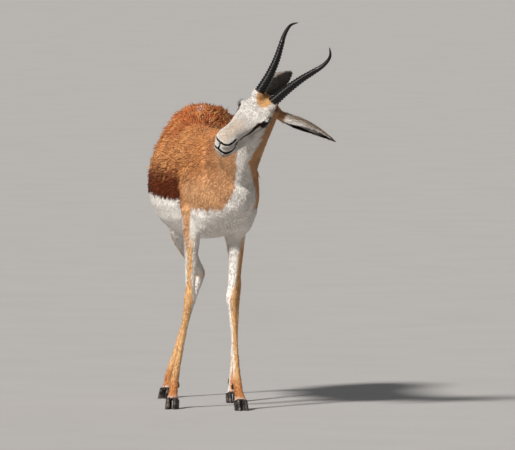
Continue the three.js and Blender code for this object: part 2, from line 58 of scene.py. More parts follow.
# %% [markdown]
# ## Where the head is
# The head is turned, let down and tilted, so its details are easier to say in the head's own
# directions: out to its left, back towards the poll, and up to the crown. The middle between
# the two packed eyeballs fixes the origin, and three angles fix the directions.

# %% The head's own frame
HEAD_TURN = math.radians(51.8)
HEAD_NOD = math.radians(27.0)
HEAD_TILT = math.radians(40.1)
# Where the eyes sit and how large they are, in millimetres in the head's frame
EYE_OUT = 34.5
EYE_UP = -5.0
EYE_RADIUS = 14.5
HANDS = {"left": 1, "right": -1}


def middle_of(node):
    low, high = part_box(node)
    return (low + high) / 2


HEAD_AXES = (Matrix.Rotation(-HEAD_TURN, 3, "Z")
             @ Matrix.Rotation(HEAD_NOD, 3, "X")
             @ Matrix.Rotation(HEAD_TILT, 3, "Y"))
BETWEEN_EYES = (middle_of("eye_left") + middle_of("eye_right")) / 2
HEAD_AT = BETWEEN_EYES - HEAD_AXES @ Vector((0, 0, EYE_UP * MM))
TO_HEAD = np.array(HEAD_AXES.transposed())

# The body's places below are counted in metres from a point on the floor under the belly
BODY_AT = HEAD_AT - Vector((0.099, -0.510, 0.811))


def on_head(left, back, up):
    """A point given in millimetres in the head's own frame"""
    return HEAD_AT + HEAD_AXES @ (Vector((left, back, up)) * MM)


def head_places(points):
    """The same points as millimetres to the left, back and up in the head"""
    return (points - np.array(HEAD_AT)) @ TO_HEAD.T / MM


def body_places(points):
    return points - np.array(BODY_AT)


print("head at", [round(value, 3) for value in HEAD_AT])

# %% [markdown]
# ## Camera
# The photo was taken from far away with a long lens, a little to the animal's right and just
# above its back. A camera thirty metres off with a matching lens keeps that flat look. It is
# placed so that a point on the ground between the fore feet falls on its pixel in the picture.

# %% Camera
PICTURE_WIDTH = 515
PICTURE_HEIGHT = 450
PIXELS_PER_METRE = 370.0
CAMERA_DISTANCE = 30.0
CAMERA_AZIMUTH = math.radians(-5.0)
CAMERA_ELEVATION = math.radians(2.3)
GROUND_POINT = BODY_AT + Vector((-0.005, -0.240, 0))
GROUND_PIXEL = (207, 410)
SENSOR_WIDTH = 36.0


def add_object(name, data):
    made = bpy.data.objects.new(name, data)
    bpy.context.scene.collection.objects.link(made)
    return made


def aim_camera():
    flat = math.cos(CAMERA_ELEVATION)
    back = Vector((math.sin(CAMERA_AZIMUTH) * flat, -math.cos(CAMERA_AZIMUTH) * flat,
                   math.sin(CAMERA_ELEVATION)))
    right = Vector((math.cos(CAMERA_AZIMUTH), math.sin(CAMERA_AZIMUTH), 0))
    up = back.cross(right)
    reach = PIXELS_PER_METRE * CAMERA_DISTANCE
    across = (GROUND_PIXEL[0] - PICTURE_WIDTH / 2) / reach
    above = (PICTURE_HEIGHT / 2 - GROUND_PIXEL[1]) / reach
    place = GROUND_POINT - (right * across + up * above - back) * CAMERA_DISTANCE
    lens = bpy.data.cameras.new("camera")
    lens.sensor_width = SENSOR_WIDTH
    lens.lens = reach / PICTURE_WIDTH * SENSOR_WIDTH
    lens.clip_end = 400
    camera = add_object("camera", lens)
    turn = Matrix((right, up, back)).transposed().to_4x4()
    camera.matrix_world = Matrix.Translation(place) @ turn
    bpy.context.scene.camera = camera
    return camera


camera = aim_camera()
print("camera at", [round(value, 2) for value in camera.location], "lens", round(camera.data.lens))

# %% [markdown]
# ## Material maths
# A material is a small graph of nodes. Writing it as Python expressions keeps it readable, so
# one class wraps an output socket: plus and times add Math nodes, and one method makes any
# other node from its settings and the values or links of its sockets.

# %% Sockets that add and multiply
class Flow:
    """An output socket that takes part in arithmetic"""

    def __init__(self, tree, socket=None):
        self.tree = tree
        self.socket = socket

    def node(self, kind, settings=None, inputs=None, output=0):
        made = self.tree.nodes.new(kind)
        for name, value in (settings or {}).items():
            if name == "stops":
                fill_ramp(made.color_ramp, value)
            else:
                setattr(made, name, value)
        for name, value in (inputs or {}).items():
            if isinstance(value, Flow):
                self.tree.links.new(value.socket, made.inputs[name])
            else:
                made.inputs[name].default_value = value
        return Flow(self.tree, made.outputs[output])

    def maths(self, operation, first, second):
        return self.node("ShaderNodeMath", {"operation": operation}, {0: first, 1: second})

    def vector(self, operation, first, second, output=0):
        return self.node("ShaderNodeVectorMath", {"operation": operation},
                         {0: first, 1: second}, output)

    def mix(self, share, first, second):
        """Blends two colours"""
        return self.node("ShaderNodeMix", {"data_type": "RGBA"}, {0: share, 6: first, 7: second}, 2)

    def tinted(self, amount):
        """This colour, brightened or darkened by a number flow"""
        shade = self.node("ShaderNodeCombineXYZ", inputs={0: amount, 1: amount, 2: amount})
        return self.vector("MULTIPLY", self, shade)

    def __add__(self, other):
        return self.maths("ADD", self, other)

    def __radd__(self, other):
        return self.maths("ADD", other, self)

    def __mul__(self, other):
        return self.maths("MULTIPLY", self, other)

    def __rmul__(self, other):
        return self.maths("MULTIPLY", other, self)


def fill_ramp(ramp_data, stops):
    while len(ramp_data.elements) < len(stops):
        ramp_data.elements.new(0.5)
    for element, (place, colour) in zip(ramp_data.elements, stops):
        element.position = place
        element.color = (*colour[:3], 1)


def srgb(red, green, blue):
    """A colour given from 0 to 255, as the renderer's linear light"""
    shares = [value / 255 for value in (red, green, blue)]
    return tuple(share / 12.92 if share <= 0.04045 else ((share + 0.055) / 1.055) ** 2.4
                 for share in shares)


def new_material(name, fixed):
    """A material with one Principled shader whose unchanging sockets are set directly"""
    material = bpy.data.materials.new(name)
    material.use_nodes = True
    tree = material.node_tree
    shader = tree.nodes["Principled BSDF"]
    for socket, value in fixed.items():
        shader.inputs[socket].default_value = value
    return material, Flow(tree), shader


def plug(flow, shader, socket):
    flow.tree.links.new(flow.socket, shader.inputs[socket])


def bumped(start, height, distance, strength, shader):
    relief = start.node("ShaderNodeBump", inputs={"Strength": strength, "Distance": distance,
                                                  "Height": height})
    plug(relief, shader, "Normal")


print("material helpers ready")

# %% [markdown]
# ## Floor and light
# A wide pale floor catches the shadow. One warm sun stands high in front and to the animal's
# right, as in the photo. A weak cool light from behind lifts the far edge, and a dim even sky
# fills the shade. The Standard view shows the coat's colours as they are painted.

# %% Floor, suns and sky
FLOOR_HALF = 120.0
SUN_STRENGTH = 4.5
SUN_TOWARDS = (-0.60, -0.66, 0.76)
SUN_SOFTNESS = math.radians(8)
BACK_LIGHT_STRENGTH = 0.24
BACK_LIGHT_TOWARDS = (0.55, 0.75, 0.45)
BACK_LIGHT_SOFTNESS = math.radians(50)
SKY_STRENGTH = 0.165


def finish_mesh(name, shape):
    """Turns a bmesh into an object"""
    data = bpy.data.meshes.new(name)
    shape.to_mesh(data)
    shape.free()
    return add_object(name, data)


def build_floor():
    shape = bmesh.new()
    bmesh.ops.create_grid(shape, x_segments=1, y_segments=1, size=FLOOR_HALF)
    floor = finish_mesh("floor", shape)
    material, start, shader = new_material("pale_floor", {"Roughness": 0.9})
    place = start.node("ShaderNodeTexCoord", output=3)
    grain = start.node("ShaderNodeTexNoise", inputs={"Vector": place, "Scale": 3.0, "Detail": 4.0})
    plug(start.mix(grain, (0.40, 0.385, 0.37, 1), (0.45, 0.435, 0.42, 1)), shader, "Base Color")
    floor.data.materials.append(material)
    return floor


def add_sun(name, strength, softness, colour, towards):
    light = bpy.data.lights.new(name, "SUN")
    light.energy = strength
    light.angle = softness
    light.color = colour
    lamp = add_object(name, light)
    lamp.matrix_world = Vector(towards).to_track_quat("Z", "Y").to_matrix().to_4x4()


def build_lights():
    add_sun("key", SUN_STRENGTH, SUN_SOFTNESS, (1.0, 0.975, 0.94), SUN_TOWARDS)
    add_sun("back_light", BACK_LIGHT_STRENGTH, BACK_LIGHT_SOFTNESS, (0.95, 0.97, 1.0),
            BACK_LIGHT_TOWARDS)
    world = bpy.data.worlds.new("studio")
    bpy.context.scene.world = world
    world.use_nodes = True
    sky = world.node_tree.nodes["Background"]
    sky.inputs["Color"].default_value = (0.93, 0.95, 1.0, 1)
    sky.inputs["Strength"].default_value = SKY_STRENGTH
    bpy.context.scene.view_settings.view_transform = "Standard"


build_floor()
build_lights()
print("floor and lights placed")

# %% [markdown]
# ## One skin from the solids of flesh
# The real animal has no joins between neck, trunk and legs. The solids of flesh are copied,
# swollen a hair's breadth so that their thin cuts close, and handed to a voxel remesh, which
# keeps only the outside. The pockets of eyes, horns and ears are filled first with balls, and
# one more ball fills the cut of the mouth.

# %% Copies of the solids
SKIN_VOXEL = 5.2 * MM
CUT_CLOSING = 0.7 * MM
FLESH = ["torso", "neck", "head", "leg_front_left", "leg_front_right",
         "leg_hind_left", "leg_hind_right"]
TAIL_MIDDLE = middle_of("tail")
TAIL_LOW, TAIL_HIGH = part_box("tail")
# Balls on both hands: how far out, back and up in the head's frame, and the radius
POCKET_BALLS = [(EYE_OUT, 0, EYE_UP, 15), (23.5, 35, 30, 18.5), (36, 56, -10, 17)]
MOUTH_BALL_AT = (0, -104, -45)
MOUTH_BALL_SIZES = [17 * MM, 18 * MM, 16 * MM]


def merged_copy(node, swell):
    """A solid's mesh with its loose triangles joined, moved out along its normals"""
    shape = bmesh.new()
    shape.from_mesh(NODES[node].data)
    bmesh.ops.remove_doubles(shape, verts=shape.verts, dist=0.00001)
    shape.normal_update()
    for vert in shape.verts:
        vert.co += vert.normal * swell
    return shape


def add_ball(shape, centre, sizes, turn=Matrix.Identity(3)):
    matrix = Matrix.Translation(centre) @ turn.to_4x4() @ Matrix.Diagonal((*sizes, 1))
    bmesh.ops.create_icosphere(shape, subdivisions=3, radius=1, matrix=matrix)


def swept(shape, stations, sides):
    """A closed tube through stations of (place, turn as a 3x3 matrix, half width, half depth)"""
    matrices = [Matrix.Translation(place) @ turn.to_4x4() @ Matrix.Diagonal((wide, deep, 1, 1))
                for place, turn, wide, deep in stations]
    known = set(shape.edges)
    bmesh.ops.create_circle(shape, cap_ends=True, segments=sides, radius=1, matrix=matrices[0])
    rim = [edge for edge in shape.edges if edge not in known]
    for before, after in zip(matrices, matrices[1:]):
        grown = bmesh.ops.extrude_edge_only(shape, edges=rim)["geom"]
        corners = [item for item in grown if isinstance(item, bmesh.types.BMVert)]
        rim = [item for item in grown if isinstance(item, bmesh.types.BMEdge)]
        rim = [edge for edge in rim if all(vert in corners for vert in edge.verts)]
        bmesh.ops.transform(shape, matrix=after @ before.inverted(), verts=corners)
    bmesh.ops.pointmerge(shape, verts=corners, merge_co=stations[-1][0])


def level(direction, side=Vector((1, 0, 0))):
    """A turn whose Z runs along direction and whose X keeps near side"""
    along = Vector(direction).normalized()
    across = (Vector(side) - along * along.dot(Vector(side))).normalized()
    return Matrix((across, along.cross(across), along)).transposed()


def route_stations(points, sizes, side=Vector((1, 0, 0))):
    """Stations along points, each turned to the route's direction there"""
    stations = []
    for index, (place, (wide, deep)) in enumerate(zip(points, sizes)):
        before = points[max(index - 1, 0)]
        after = points[min(index + 1, len(points) - 1)]
        stations.append((place, level(after - before, side), wide, deep))
    return stations


def tail_core(shape):
    """The fleshy part of the tail, which hangs from the rump"""
    top = Vector((TAIL_MIDDLE.x - 0.004, TAIL_HIGH.y - 0.040, TAIL_HIGH.z - 0.004))
    back = TAIL_HIGH.y - 0.013
    points = [top + Vector((0, -0.045, 0.004)), top, Vector((top.x, back - 0.010, top.z - 0.016)),
              Vector((top.x, back, top.z - 0.055)), Vector((top.x + 0.001, back, top.z - 0.100)),
              Vector((top.x + 0.002, back - 0.002, top.z - 0.140)),
              Vector((top.x + 0.002, back - 0.003, TAIL_LOW.z + 0.055))]
    sizes = [(0.014, 0.013), (0.012, 0.010), (0.009, 0.008), (0.0065, 0.006), (0.0055, 0.005),
             (0.0045, 0.004), (0.002, 0.002)]
    swept(shape, route_stations(points, sizes), 12)
    return points


def remesh_whole(piece, voxel):
    """Replaces a piece's mesh by the outside of all its solids, in cells of one size"""
    remesh = piece.modifiers.new("remesh", "REMESH")
    remesh.mode = "VOXEL"
    remesh.voxel_size = voxel
    settled = piece.evaluated_get(bpy.context.evaluated_depsgraph_get())
    done = bpy.data.meshes.new_from_object(settled)
    piece.modifiers.clear()
    piece.data = done


def raw_skin():
    whole = bmesh.new()
    for node in FLESH:
        part = merged_copy(node, CUT_CLOSING)
        scrap = bpy.data.meshes.new("scrap")
        part.to_mesh(scrap)
        part.free()
        whole.from_mesh(scrap)
        bpy.data.meshes.remove(scrap)
    tail_points = tail_core(whole)
    for hand in HANDS.values():
        for out, back, up, radius in POCKET_BALLS:
            add_ball(whole, on_head(hand * out, back, up), [radius * MM] * 3)
    add_ball(whole, on_head(*MOUTH_BALL_AT), MOUTH_BALL_SIZES, HEAD_AXES)
    skin = finish_mesh("skin", whole)
    remesh_whole(skin, SKIN_VOXEL)
    return skin, tail_points


skin, TAIL_POINTS = raw_skin()
print("raw skin faces:", len(skin.data.polygons))

# %% [markdown]
# ## Which part of the body a point belongs to
# Smoothing, coat length and colour all change from part to part. Planes and heights in the
# body's frame tell the parts apart, with soft borders, for many points at once.

# %% Soft borders
def ramp(value, low, high):
    """0 below low, 1 above high, and a smooth rise between"""
    share = np.clip((value - low) / (high - low), 0, 1)
    return share * share * (3 - 2 * share)


def waves(points, size, seed):
    """Smooth noise from about -1 to 1, whose bumps are about as wide as size"""
    dice = np.random.default_rng(seed)
    total = np.zeros(len(points))
    for _ in range(9):
        direction = dice.normal(size=3)
        direction *= dice.uniform(0.6, 1.5) * math.pi / size / np.linalg.norm(direction)
        total += np.sin(points @ direction + dice.uniform(0, 2 * math.pi))
    return total / 3


def behind_jaw(places):
    """How far behind the plane at the back of the jaw places in the head's frame are"""
    _, back, up = places.T
    return 0.5 * (back - 52) - 0.87 * (up + 77)


def is_head(points):
    """1 on the head side of the plane behind the jaw"""
    return 1 - ramp(behind_jaw(head_places(points)), -10, 14)


def behind_neck(points):
    """How far behind the plane through the neck's root points are"""
    x, y, z = body_places(points).T
    return -0.25 * (x - 0.064) + 0.8 * (y + 0.268) - 0.55 * (z - 0.662)


def is_neck(points):
    """1 in front of the plane through the neck's root, the head included"""
    return 1 - ramp(behind_neck(points), -0.03, 0.03)


def is_leg(points):
    """1 below the elbows and stifles"""
    x, y, z = body_places(points).T
    fore = 1 - ramp(y, -0.14, -0.10)
    hind_left = ramp(x, 0.035, 0.060) * ramp(y, 0.12, 0.16)
    hind_right = (1 - ramp(x, 0.000, 0.030)) * ramp(y, 0.20, 0.25)
    top = 0.425 + 0.030 * fore + 0.075 * np.maximum(hind_left, hind_right)
    return 1 - ramp(z, top - 0.03, top + 0.03)


def is_tail(points):
    return ramp(body_places(points)[:, 1], 0.452, 0.464)


def trunk_middle(points):
    """How far to the left of the trunk's curved middle plane points are"""
    x, y, _ = body_places(points).T
    middle = np.interp(y, [-0.30, -0.20, -0.045, 0.10, 0.24, 0.36, 0.46],
                       [0.048, 0.041, 0.013, 0.003, 0.020, 0.037, 0.048])
    return x - middle


def roughness_of(points):
    """1 on back and rump, where the hair is long and rough, and 0 on belly and chest"""
    _, y, z = body_places(points).T
    return (ramp(z, 0.56, 0.68) * (0.45 + 0.55 * ramp(y, -0.1, 0.2))
            * ramp(behind_neck(points), -0.01, 0.09))


def calm_front(points):
    """1 on the lower shoulders and the chest, where the hair lies short and flat"""
    _, y, z = body_places(points).T
    return (1 - ramp(z + 0.3 * y, 0.535, 0.600)) * (1 - ramp(y, -0.22, -0.13))


def coat_depth(points):
    """How deep the coat is over the skin, in metres"""
    head = is_head(points)
    leg = is_leg(points)
    depth = 0.0030 + 0.0040 * roughness_of(points)
    depth = depth * (1 - leg) + leg * 0.0012
    depth = depth * (1 - head) + head * 0.0013
    return depth * (1 - 0.9 * is_tail(points))


print("coat depth at the withers, mm:",
      (coat_depth(np.array([BODY_AT + Vector((0.02, -0.1, 0.757))])) / MM).round(1))

# %% [markdown]
# ## Smoothing, and the head worked finer
# The remesh has cells of about five millimetres, which is plenty for the trunk and too coarse
# for lids and lips. So the faces of the head are divided once, those round the eyes and the
# muzzle a second time, and those of the lids a third. Before and between, the skin is smoothed:
# strongly on the trunk, lightly on the legs, where bones show through.

# %% Divide and smooth
EYE_PLACES = {hand: np.array([hand * EYE_OUT, 0.0, EYE_UP]) for hand in HANDS.values()}


def mesh_points(data, what="co"):
    flat = np.empty(len(data.vertices) * 3)
    data.vertices.foreach_get(what, flat)
    return flat.reshape(-1, 3)


def mesh_normals(data):
    return mesh_points(data, "normal")


def set_points(data, points):
    data.vertices.foreach_set("co", points.ravel())
    data.update()


def divide_where(data, wanted):
    """Cuts each face in four where wanted, a function of face centres in the head's frame"""
    shape = bmesh.new()
    shape.from_mesh(data)
    shape.faces.ensure_lookup_table()
    centres = np.array([face.calc_center_median() for face in shape.faces])
    chosen = np.flatnonzero(wanted(head_places(centres)))
    shape.edges.ensure_lookup_table()
    cut = sorted({edge.index for index in chosen for edge in shape.faces[index].edges})
    bmesh.ops.subdivide_edges(shape, edges=[shape.edges[index] for index in cut], cuts=1,
                              use_grid_fill=True)
    shape.to_mesh(data)
    shape.free()


def smoothed(data, rounds, weights):
    """Moves points towards the mean of their neighbours and out again, by turns"""
    points = mesh_points(data)
    ends = np.empty(len(data.edges) * 2, dtype=np.int64)
    data.edges.foreach_get("vertices", ends)
    ends = ends.reshape(-1, 2)
    count = np.bincount(ends.ravel(), minlength=len(points))[:, None]
    for turn in range(rounds):
        total = np.empty_like(points)
        for axis in range(3):
            total[:, axis] = np.bincount(ends[:, 0], points[ends[:, 1], axis], len(points))
            total[:, axis] += np.bincount(ends[:, 1], points[ends[:, 0], axis], len(points))
        step = 0.55 if turn % 2 == 0 else -0.57 + 0.04 * weights[:, None]
        points = points + (total / count - points) * step * weights[:, None]
    set_points(data, points)


def on_whole_head(places):
    left, back, _ = places.T
    return (behind_jaw(places) < -4) & (back < 75) & (np.abs(left) < 70)


def on_features(places):
    _, back, up = places.T
    near_eye = np.zeros(len(places), dtype=bool)
    for place in EYE_PLACES.values():
        near_eye |= np.linalg.norm(places - place, axis=1) < 27
    return near_eye | ((back < -78) & (up > -100))


def on_lids(places):
    near = np.zeros(len(places), dtype=bool)
    for hand, place in EYE_PLACES.items():
        away = places - place
        near |= (np.linalg.norm(away, axis=1) < 19.5) & (hand * away[:, 0] > 3)
    return near


def smoothing_weights(points):
    trunk = (1 - is_leg(points)) * (1 - is_head(points)) * (1 - is_tail(points))
    return 0.35 + 0.65 * trunk


smoothed(skin.data, 30, smoothing_weights(mesh_points(skin.data)))
divide_where(skin.data, on_whole_head)
smoothed(skin.data, 8, 0.2 + 0.6 * is_head(mesh_points(skin.data)))
divide_where(skin.data, on_features)
divide_where(skin.data, on_lids)
smoothed(skin.data, 4, 0.8 * is_head(mesh_points(skin.data)))
print("skin faces after dividing:", len(skin.data.polygons))

# %% [markdown]
# ## Lids, nostrils and mouth
# With fine faces in place the features can be pressed into the skin like a thumb into clay.
# Round each eye the skin is laid on a sphere a little larger than the eyeball, so that it
# makes a lid with a real edge. Mouth, nostrils and the groove below the nose are valleys
# along named lines, each with a soft swelling beside it.

# %% Lines of the face, in millimetres in the head's frame
LID_HALF_LENGTH = 13.0
LID_HALF_HEIGHT = 7.6
LID_SLANT = math.radians(12)
LASH_REACH = EYE_RADIUS + 1.1
MOUTH_LINE = [(27, -78, -36), (27, -90, -44), (27, -103, -53), (20, -122, -58), (10, -130, -55),
              (0, -132, -51)]
NOSTRIL_LINE = [(3, -133, -25), (13, -130, -25), (21, -120, -23), (26.5, -106, -19),
                (26, -98, -17)]
MUZZLE_MIDDLE = -104.0
MUZZLE_HALF = 25.0
NOSE_GROOVE = [(1, -134, -27), (1, -134, -38), (0, -133, -50)]
# Middle of a soft form, its reach, and how far it swells out or sinks in
CHEEK_FORMS = [
    ((31, -37, -62), 14, 5.0),
    ((31, -54, -42), 10, -2.5),
    ((36, -8, -48), 16, -3.5),
    ((40, 14, 16), 13, 2.0),
    ((43, 2, 12), 9, 2.2),
    ((24, -56, 4), 14, -1.5),
    ((34, 26, -80), 18, 1.5),
]


def distance_to_line(places, line):
    """The distance of each place to the nearest part of a broken line"""
    nearest = np.full(len(places), np.inf)
    for start, end in zip(line, line[1:]):
        start, end = np.array(start, float), np.array(end, float)
        along = end - start
        share = np.clip((places - start) @ along / (along @ along), 0, 1)
        away = places - (start + share[:, None] * along)
        nearest = np.minimum(nearest, np.linalg.norm(away, axis=1))
    return nearest


def unrolled(places):
    """The muzzle's surface laid flat: how far round from the front, and the height"""
    places = np.asarray(places, float)
    turn = np.arctan2(np.abs(places[:, 0]), MUZZLE_MIDDLE - places[:, 1])
    return np.stack([MUZZLE_HALF * turn, np.zeros(len(turn)), places[:, 2]], 1)


def distance_on_muzzle(places, line):
    """The distance to a line along the muzzle's surface, and far off behind the muzzle"""
    distance = distance_to_line(unrolled(places), unrolled(line))
    return distance + 60 * ramp(places[:, 1], -72, -62)


def mirrored(places, hand):
    return places * np.array([hand, 1, 1])


def lid_reach(places, hand):
    """How far out from the slit of the eye places are, 1 on the edge of the lids, and how high"""
    away = mirrored(places - EYE_PLACES[hand], hand)
    along = away[:, 1] * math.cos(LID_SLANT) + away[:, 2] * math.sin(LID_SLANT)
    across = away[:, 2] * math.cos(LID_SLANT) - away[:, 1] * math.sin(LID_SLANT)
    reach = np.sqrt((along / LID_HALF_LENGTH) ** 2 + (across / LID_HALF_HEIGHT) ** 2)
    behind = away[:, 0] < 4
    return np.where(behind, 9.0, reach), across


def shape_lids(places):
    for hand in HANDS.values():
        away = places - EYE_PLACES[hand]
        distance = np.linalg.norm(away, axis=1)
        reach, across = lid_reach(places, hand)
        over_eye = EYE_RADIUS + np.interp(reach, [0, 0.9, 1.0, 1.12, 1.5, 1.9, 2.2, 2.8],
                                           [-4, -3.2, 0.4, 1.5, 2.1, 1.3, 2.3, 2.6])
        over_eye = over_eye + 0.7 * ramp(across, 2, 9) * ramp(reach, 1.0, 1.2)
        share = (1 - ramp(reach, 2.0, 3.2)) * (distance < 30)
        wanted = EYE_PLACES[hand] + away / distance[:, None] * over_eye[:, None]
        places = places + (wanted - places) * share[:, None]
    return places


def pressed(places, line, deep, wide, swell, swell_at):
    """How far a valley along a line, with a swelling beside it, moves each place outwards"""
    distance = distance_on_muzzle(places, line)
    valley = -deep * np.exp(-(distance / wide) ** 2)
    return valley + swell * np.exp(-((distance - swell_at) / (0.6 * swell_at)) ** 2)


def swell_cheeks(places, normals):
    moved = places.copy()
    for centre, reach, out in CHEEK_FORMS:
        for hand in HANDS.values():
            away = np.linalg.norm(mirrored(places, hand) - np.array(centre), axis=1)
            moved = moved + normals * (out * np.exp(-(away / reach) ** 2))[:, None]
    return moved


def shape_face(data):
    places = head_places(mesh_points(data))
    normals = mesh_normals(data) @ TO_HEAD.T
    head = is_head(mesh_points(data))[:, None]
    worked = swell_cheeks(places, normals)
    out = pressed(places, MOUTH_LINE, 7.0, 2.6, 1.8, 6.2)
    out = out + pressed(places, NOSTRIL_LINE, 5.6, 2.3, 1.4, 5.4)
    out = out + pressed(places, NOSE_GROOVE, 3.0, 1.8, 0.5, 4.0)
    worked = worked + normals * out[:, None]
    worked = shape_lids(worked)
    places = places + (worked - places) * head
    set_points(data, places * MM @ TO_HEAD + np.array(HEAD_AT))


def sink_skin(data):
    """Draws the skin in by the depth of the coat that will cover it"""
    points = mesh_points(data)
    normals = mesh_normals(data)
    depth = coat_depth(points) + CUT_CLOSING
    set_points(data, points - normals * depth[:, None])


sink_skin(skin.data)
smoothed(skin.data, 2, 0.6 * is_head(mesh_points(skin.data)))
shape_face(skin.data)
print("face shaped")

# %% [markdown]
# ## Ears
# An ear is a leaf rolled into a cup. The remesh would tear a wall two millimetres thick, so
# each ear is bent from a flat grid, given its thickness, and joined to the skin as one object,
# its stem sunk in the head.

# %% Ear leaves
EAR_LENGTH = 166 * MM
EAR_HALF = 25.5 * MM
EAR_WALL = 2.0 * MM
EARS = {
    1: dict(root=(45, 57, -12), along=(0.952, 0.306, -0.013), opening=(0.36, -0.80, -0.48)),
    -1: dict(root=(-37, 58, -7), along=(-0.07, 0.98, -0.17), opening=(-0.4, 0, -0.9)),
}
# Share of the length, half width, depth of the cup, and how far the edges wrap in degrees
EAR_LEAF = np.array([
    [-0.04, 0.34, 0.40, 168],
    [0.02, 0.44, 0.50, 158],
    [0.14, 0.56, 0.60, 142],
    [0.30, 0.82, 0.74, 122],
    [0.46, 1.00, 0.76, 104],
    [0.62, 0.95, 0.64, 92],
    [0.77, 0.72, 0.46, 86],
    [0.90, 0.40, 0.26, 80],
    [0.97, 0.17, 0.14, 74],
    [1.00, 0.03, 0.05, 70],
])


def ear_frame(hand):
    ear = EARS[hand]
    out = (HEAD_AXES @ Vector(ear["along"])).normalized()
    front = HEAD_AXES @ Vector(ear["opening"])
    front = (front - out * front.dot(out)).normalized()
    return on_head(*ear["root"]), out, front, out.cross(front)


def bend_ear(hand, share, swing):
    """The place of a point of the leaf, from its share of the length and of the wrap"""
    root, out, front, across = ear_frame(hand)
    half, deep, wrap = (np.interp(share, EAR_LEAF[:, 0], EAR_LEAF[:, column])
                        for column in (1, 2, 3))
    turn = math.radians(wrap) * swing
    curl = 1 + 0.05 * math.cos(4 * swing)
    place = root + out * (share * EAR_LENGTH)
    place += across * (math.sin(turn) * half * EAR_HALF * curl)
    return place - front * (math.cos(turn) * deep * EAR_HALF * curl)


# A direction along which no two faces of an ear lie at the same place
FACE_ORDER = Vector((1.0, 0.37, 0.11))


def build_ear(hand):
    leaf = bmesh.new()
    bmesh.ops.create_grid(leaf, x_segments=44, y_segments=22, size=1)
    for vert in leaf.verts:
        share = -0.04 + 1.04 * (vert.co.x + 1) / 2
        vert.co = bend_ear(hand, share, vert.co.y)
    bmesh.ops.recalc_face_normals(leaf, faces=leaf.faces)
    bmesh.ops.solidify(leaf, geom=leaf.faces, thickness=EAR_WALL)
    # The thickening leaves the faces of the rim in no fixed order, so all are put in one
    leaf.faces.sort(key=lambda face: face.calc_center_median().dot(FACE_ORDER))
    bmesh.ops.recalc_face_normals(leaf, faces=leaf.faces)
    return finish_mesh("ear", leaf)


def join_into(target, others):
    shape = bmesh.new()
    shape.from_mesh(target.data)
    for other in others:
        shape.from_mesh(other.data)
        bpy.data.objects.remove(other)
    bmesh.ops.triangulate(shape, faces=shape.faces)
    shape.to_mesh(target.data)
    shape.free()


join_into(skin, [build_ear(hand) for hand in HANDS.values()])
skin.data.shade_smooth()
print("skin triangles:", len(skin.data.polygons))

# %% [markdown]
# ## Markings
# The same function colours the skin and every lock, so both agree from any side. It starts
# with the gold of the sides and lays each marking over it through a soft mask: the red-brown
# back, the dark flank band with its sharp lower edge, the white belly, chest, throat, rump and
# inner legs, the white face with its thin dark stripe, and the fawn patch on the forehead.
# Some patches are painted shade, not markings: behind the left horn, in the cheek hollows, on the
# far half of the right ear, and in part inside the ear cups.

# %% Colours and masks
BACK_RED = srgb(176, 98, 52)
SIDE_GOLD = srgb(202, 136, 84)
NECK_FAWN = srgb(208, 158, 114)
# The colour of the painted sun highlights on the rough coat
PAINTED_HIGHLIGHT_GOLD = srgb(228, 168, 108)
BAND_BROWN = srgb(100, 42, 12)
WHITE = srgb(238, 232, 225)
LEG_FAWN = srgb(224, 176, 124)
PASTERN_ORANGE = srgb(190, 126, 76)
FOREHEAD_FAWN = srgb(224, 176, 120)
NOSE_TAN = srgb(236, 219, 200)
STRIPE_BROWN = srgb(60, 25, 14)
BARE_DARK = srgb(24, 18, 16)
TUFT_BLACK = srgb(38, 28, 24)
EAR_GREY = srgb(124, 104, 84)
CHIN_TAN = srgb(176, 152, 128)
HAIR_GREY = srgb(150, 144, 138)
# How far back and how high the dark stripe runs on either cheek, from mouth to eye
STRIPE_LINE = [(0, -92, -35), (0, -76, -32), (0, -62, -28), (0, -50, -23.5), (0, -42, -17),
               (0, -35, -9.5), (0, -25, -2.5), (0, -12, -0.5)]


def lay_over(base, colour, mask):
    """Another colour, or direction, over the first where the mask is 1"""
    return base + (np.array(colour) - base) * mask[:, None]


def band_floor(y):
    """Height of the sharp lower edge of the flank band"""
    return np.interp(y, [-0.20, -0.14, 0.05, 0.20, 0.32], [0.566, 0.567, 0.579, 0.590, 0.605])


def throat_strip(points, normals):
    """The white strip down the throat, which widens towards the chest"""
    x, _, z = body_places(points).T
    heights = [0.545, 0.569, 0.608, 0.648, 0.672, 0.700, 0.740, 0.780]
    centre = np.interp(z, heights, [0.074, 0.084, 0.091, 0.084, 0.081, 0.086, 0.098, 0.105])
    half = np.interp(z, heights, [0.044, 0.040, 0.028, 0.021, 0.016, 0.021, 0.030, 0.034])
    edge = half + waves(points, 0.010, 5) * 0.0015
    strip = 1 - ramp(np.abs(x - centre), edge - 0.003, edge + 0.003)
    return strip * ramp(-normals[:, 1] - 0.6 * normals[:, 2], -0.25, 0.05)


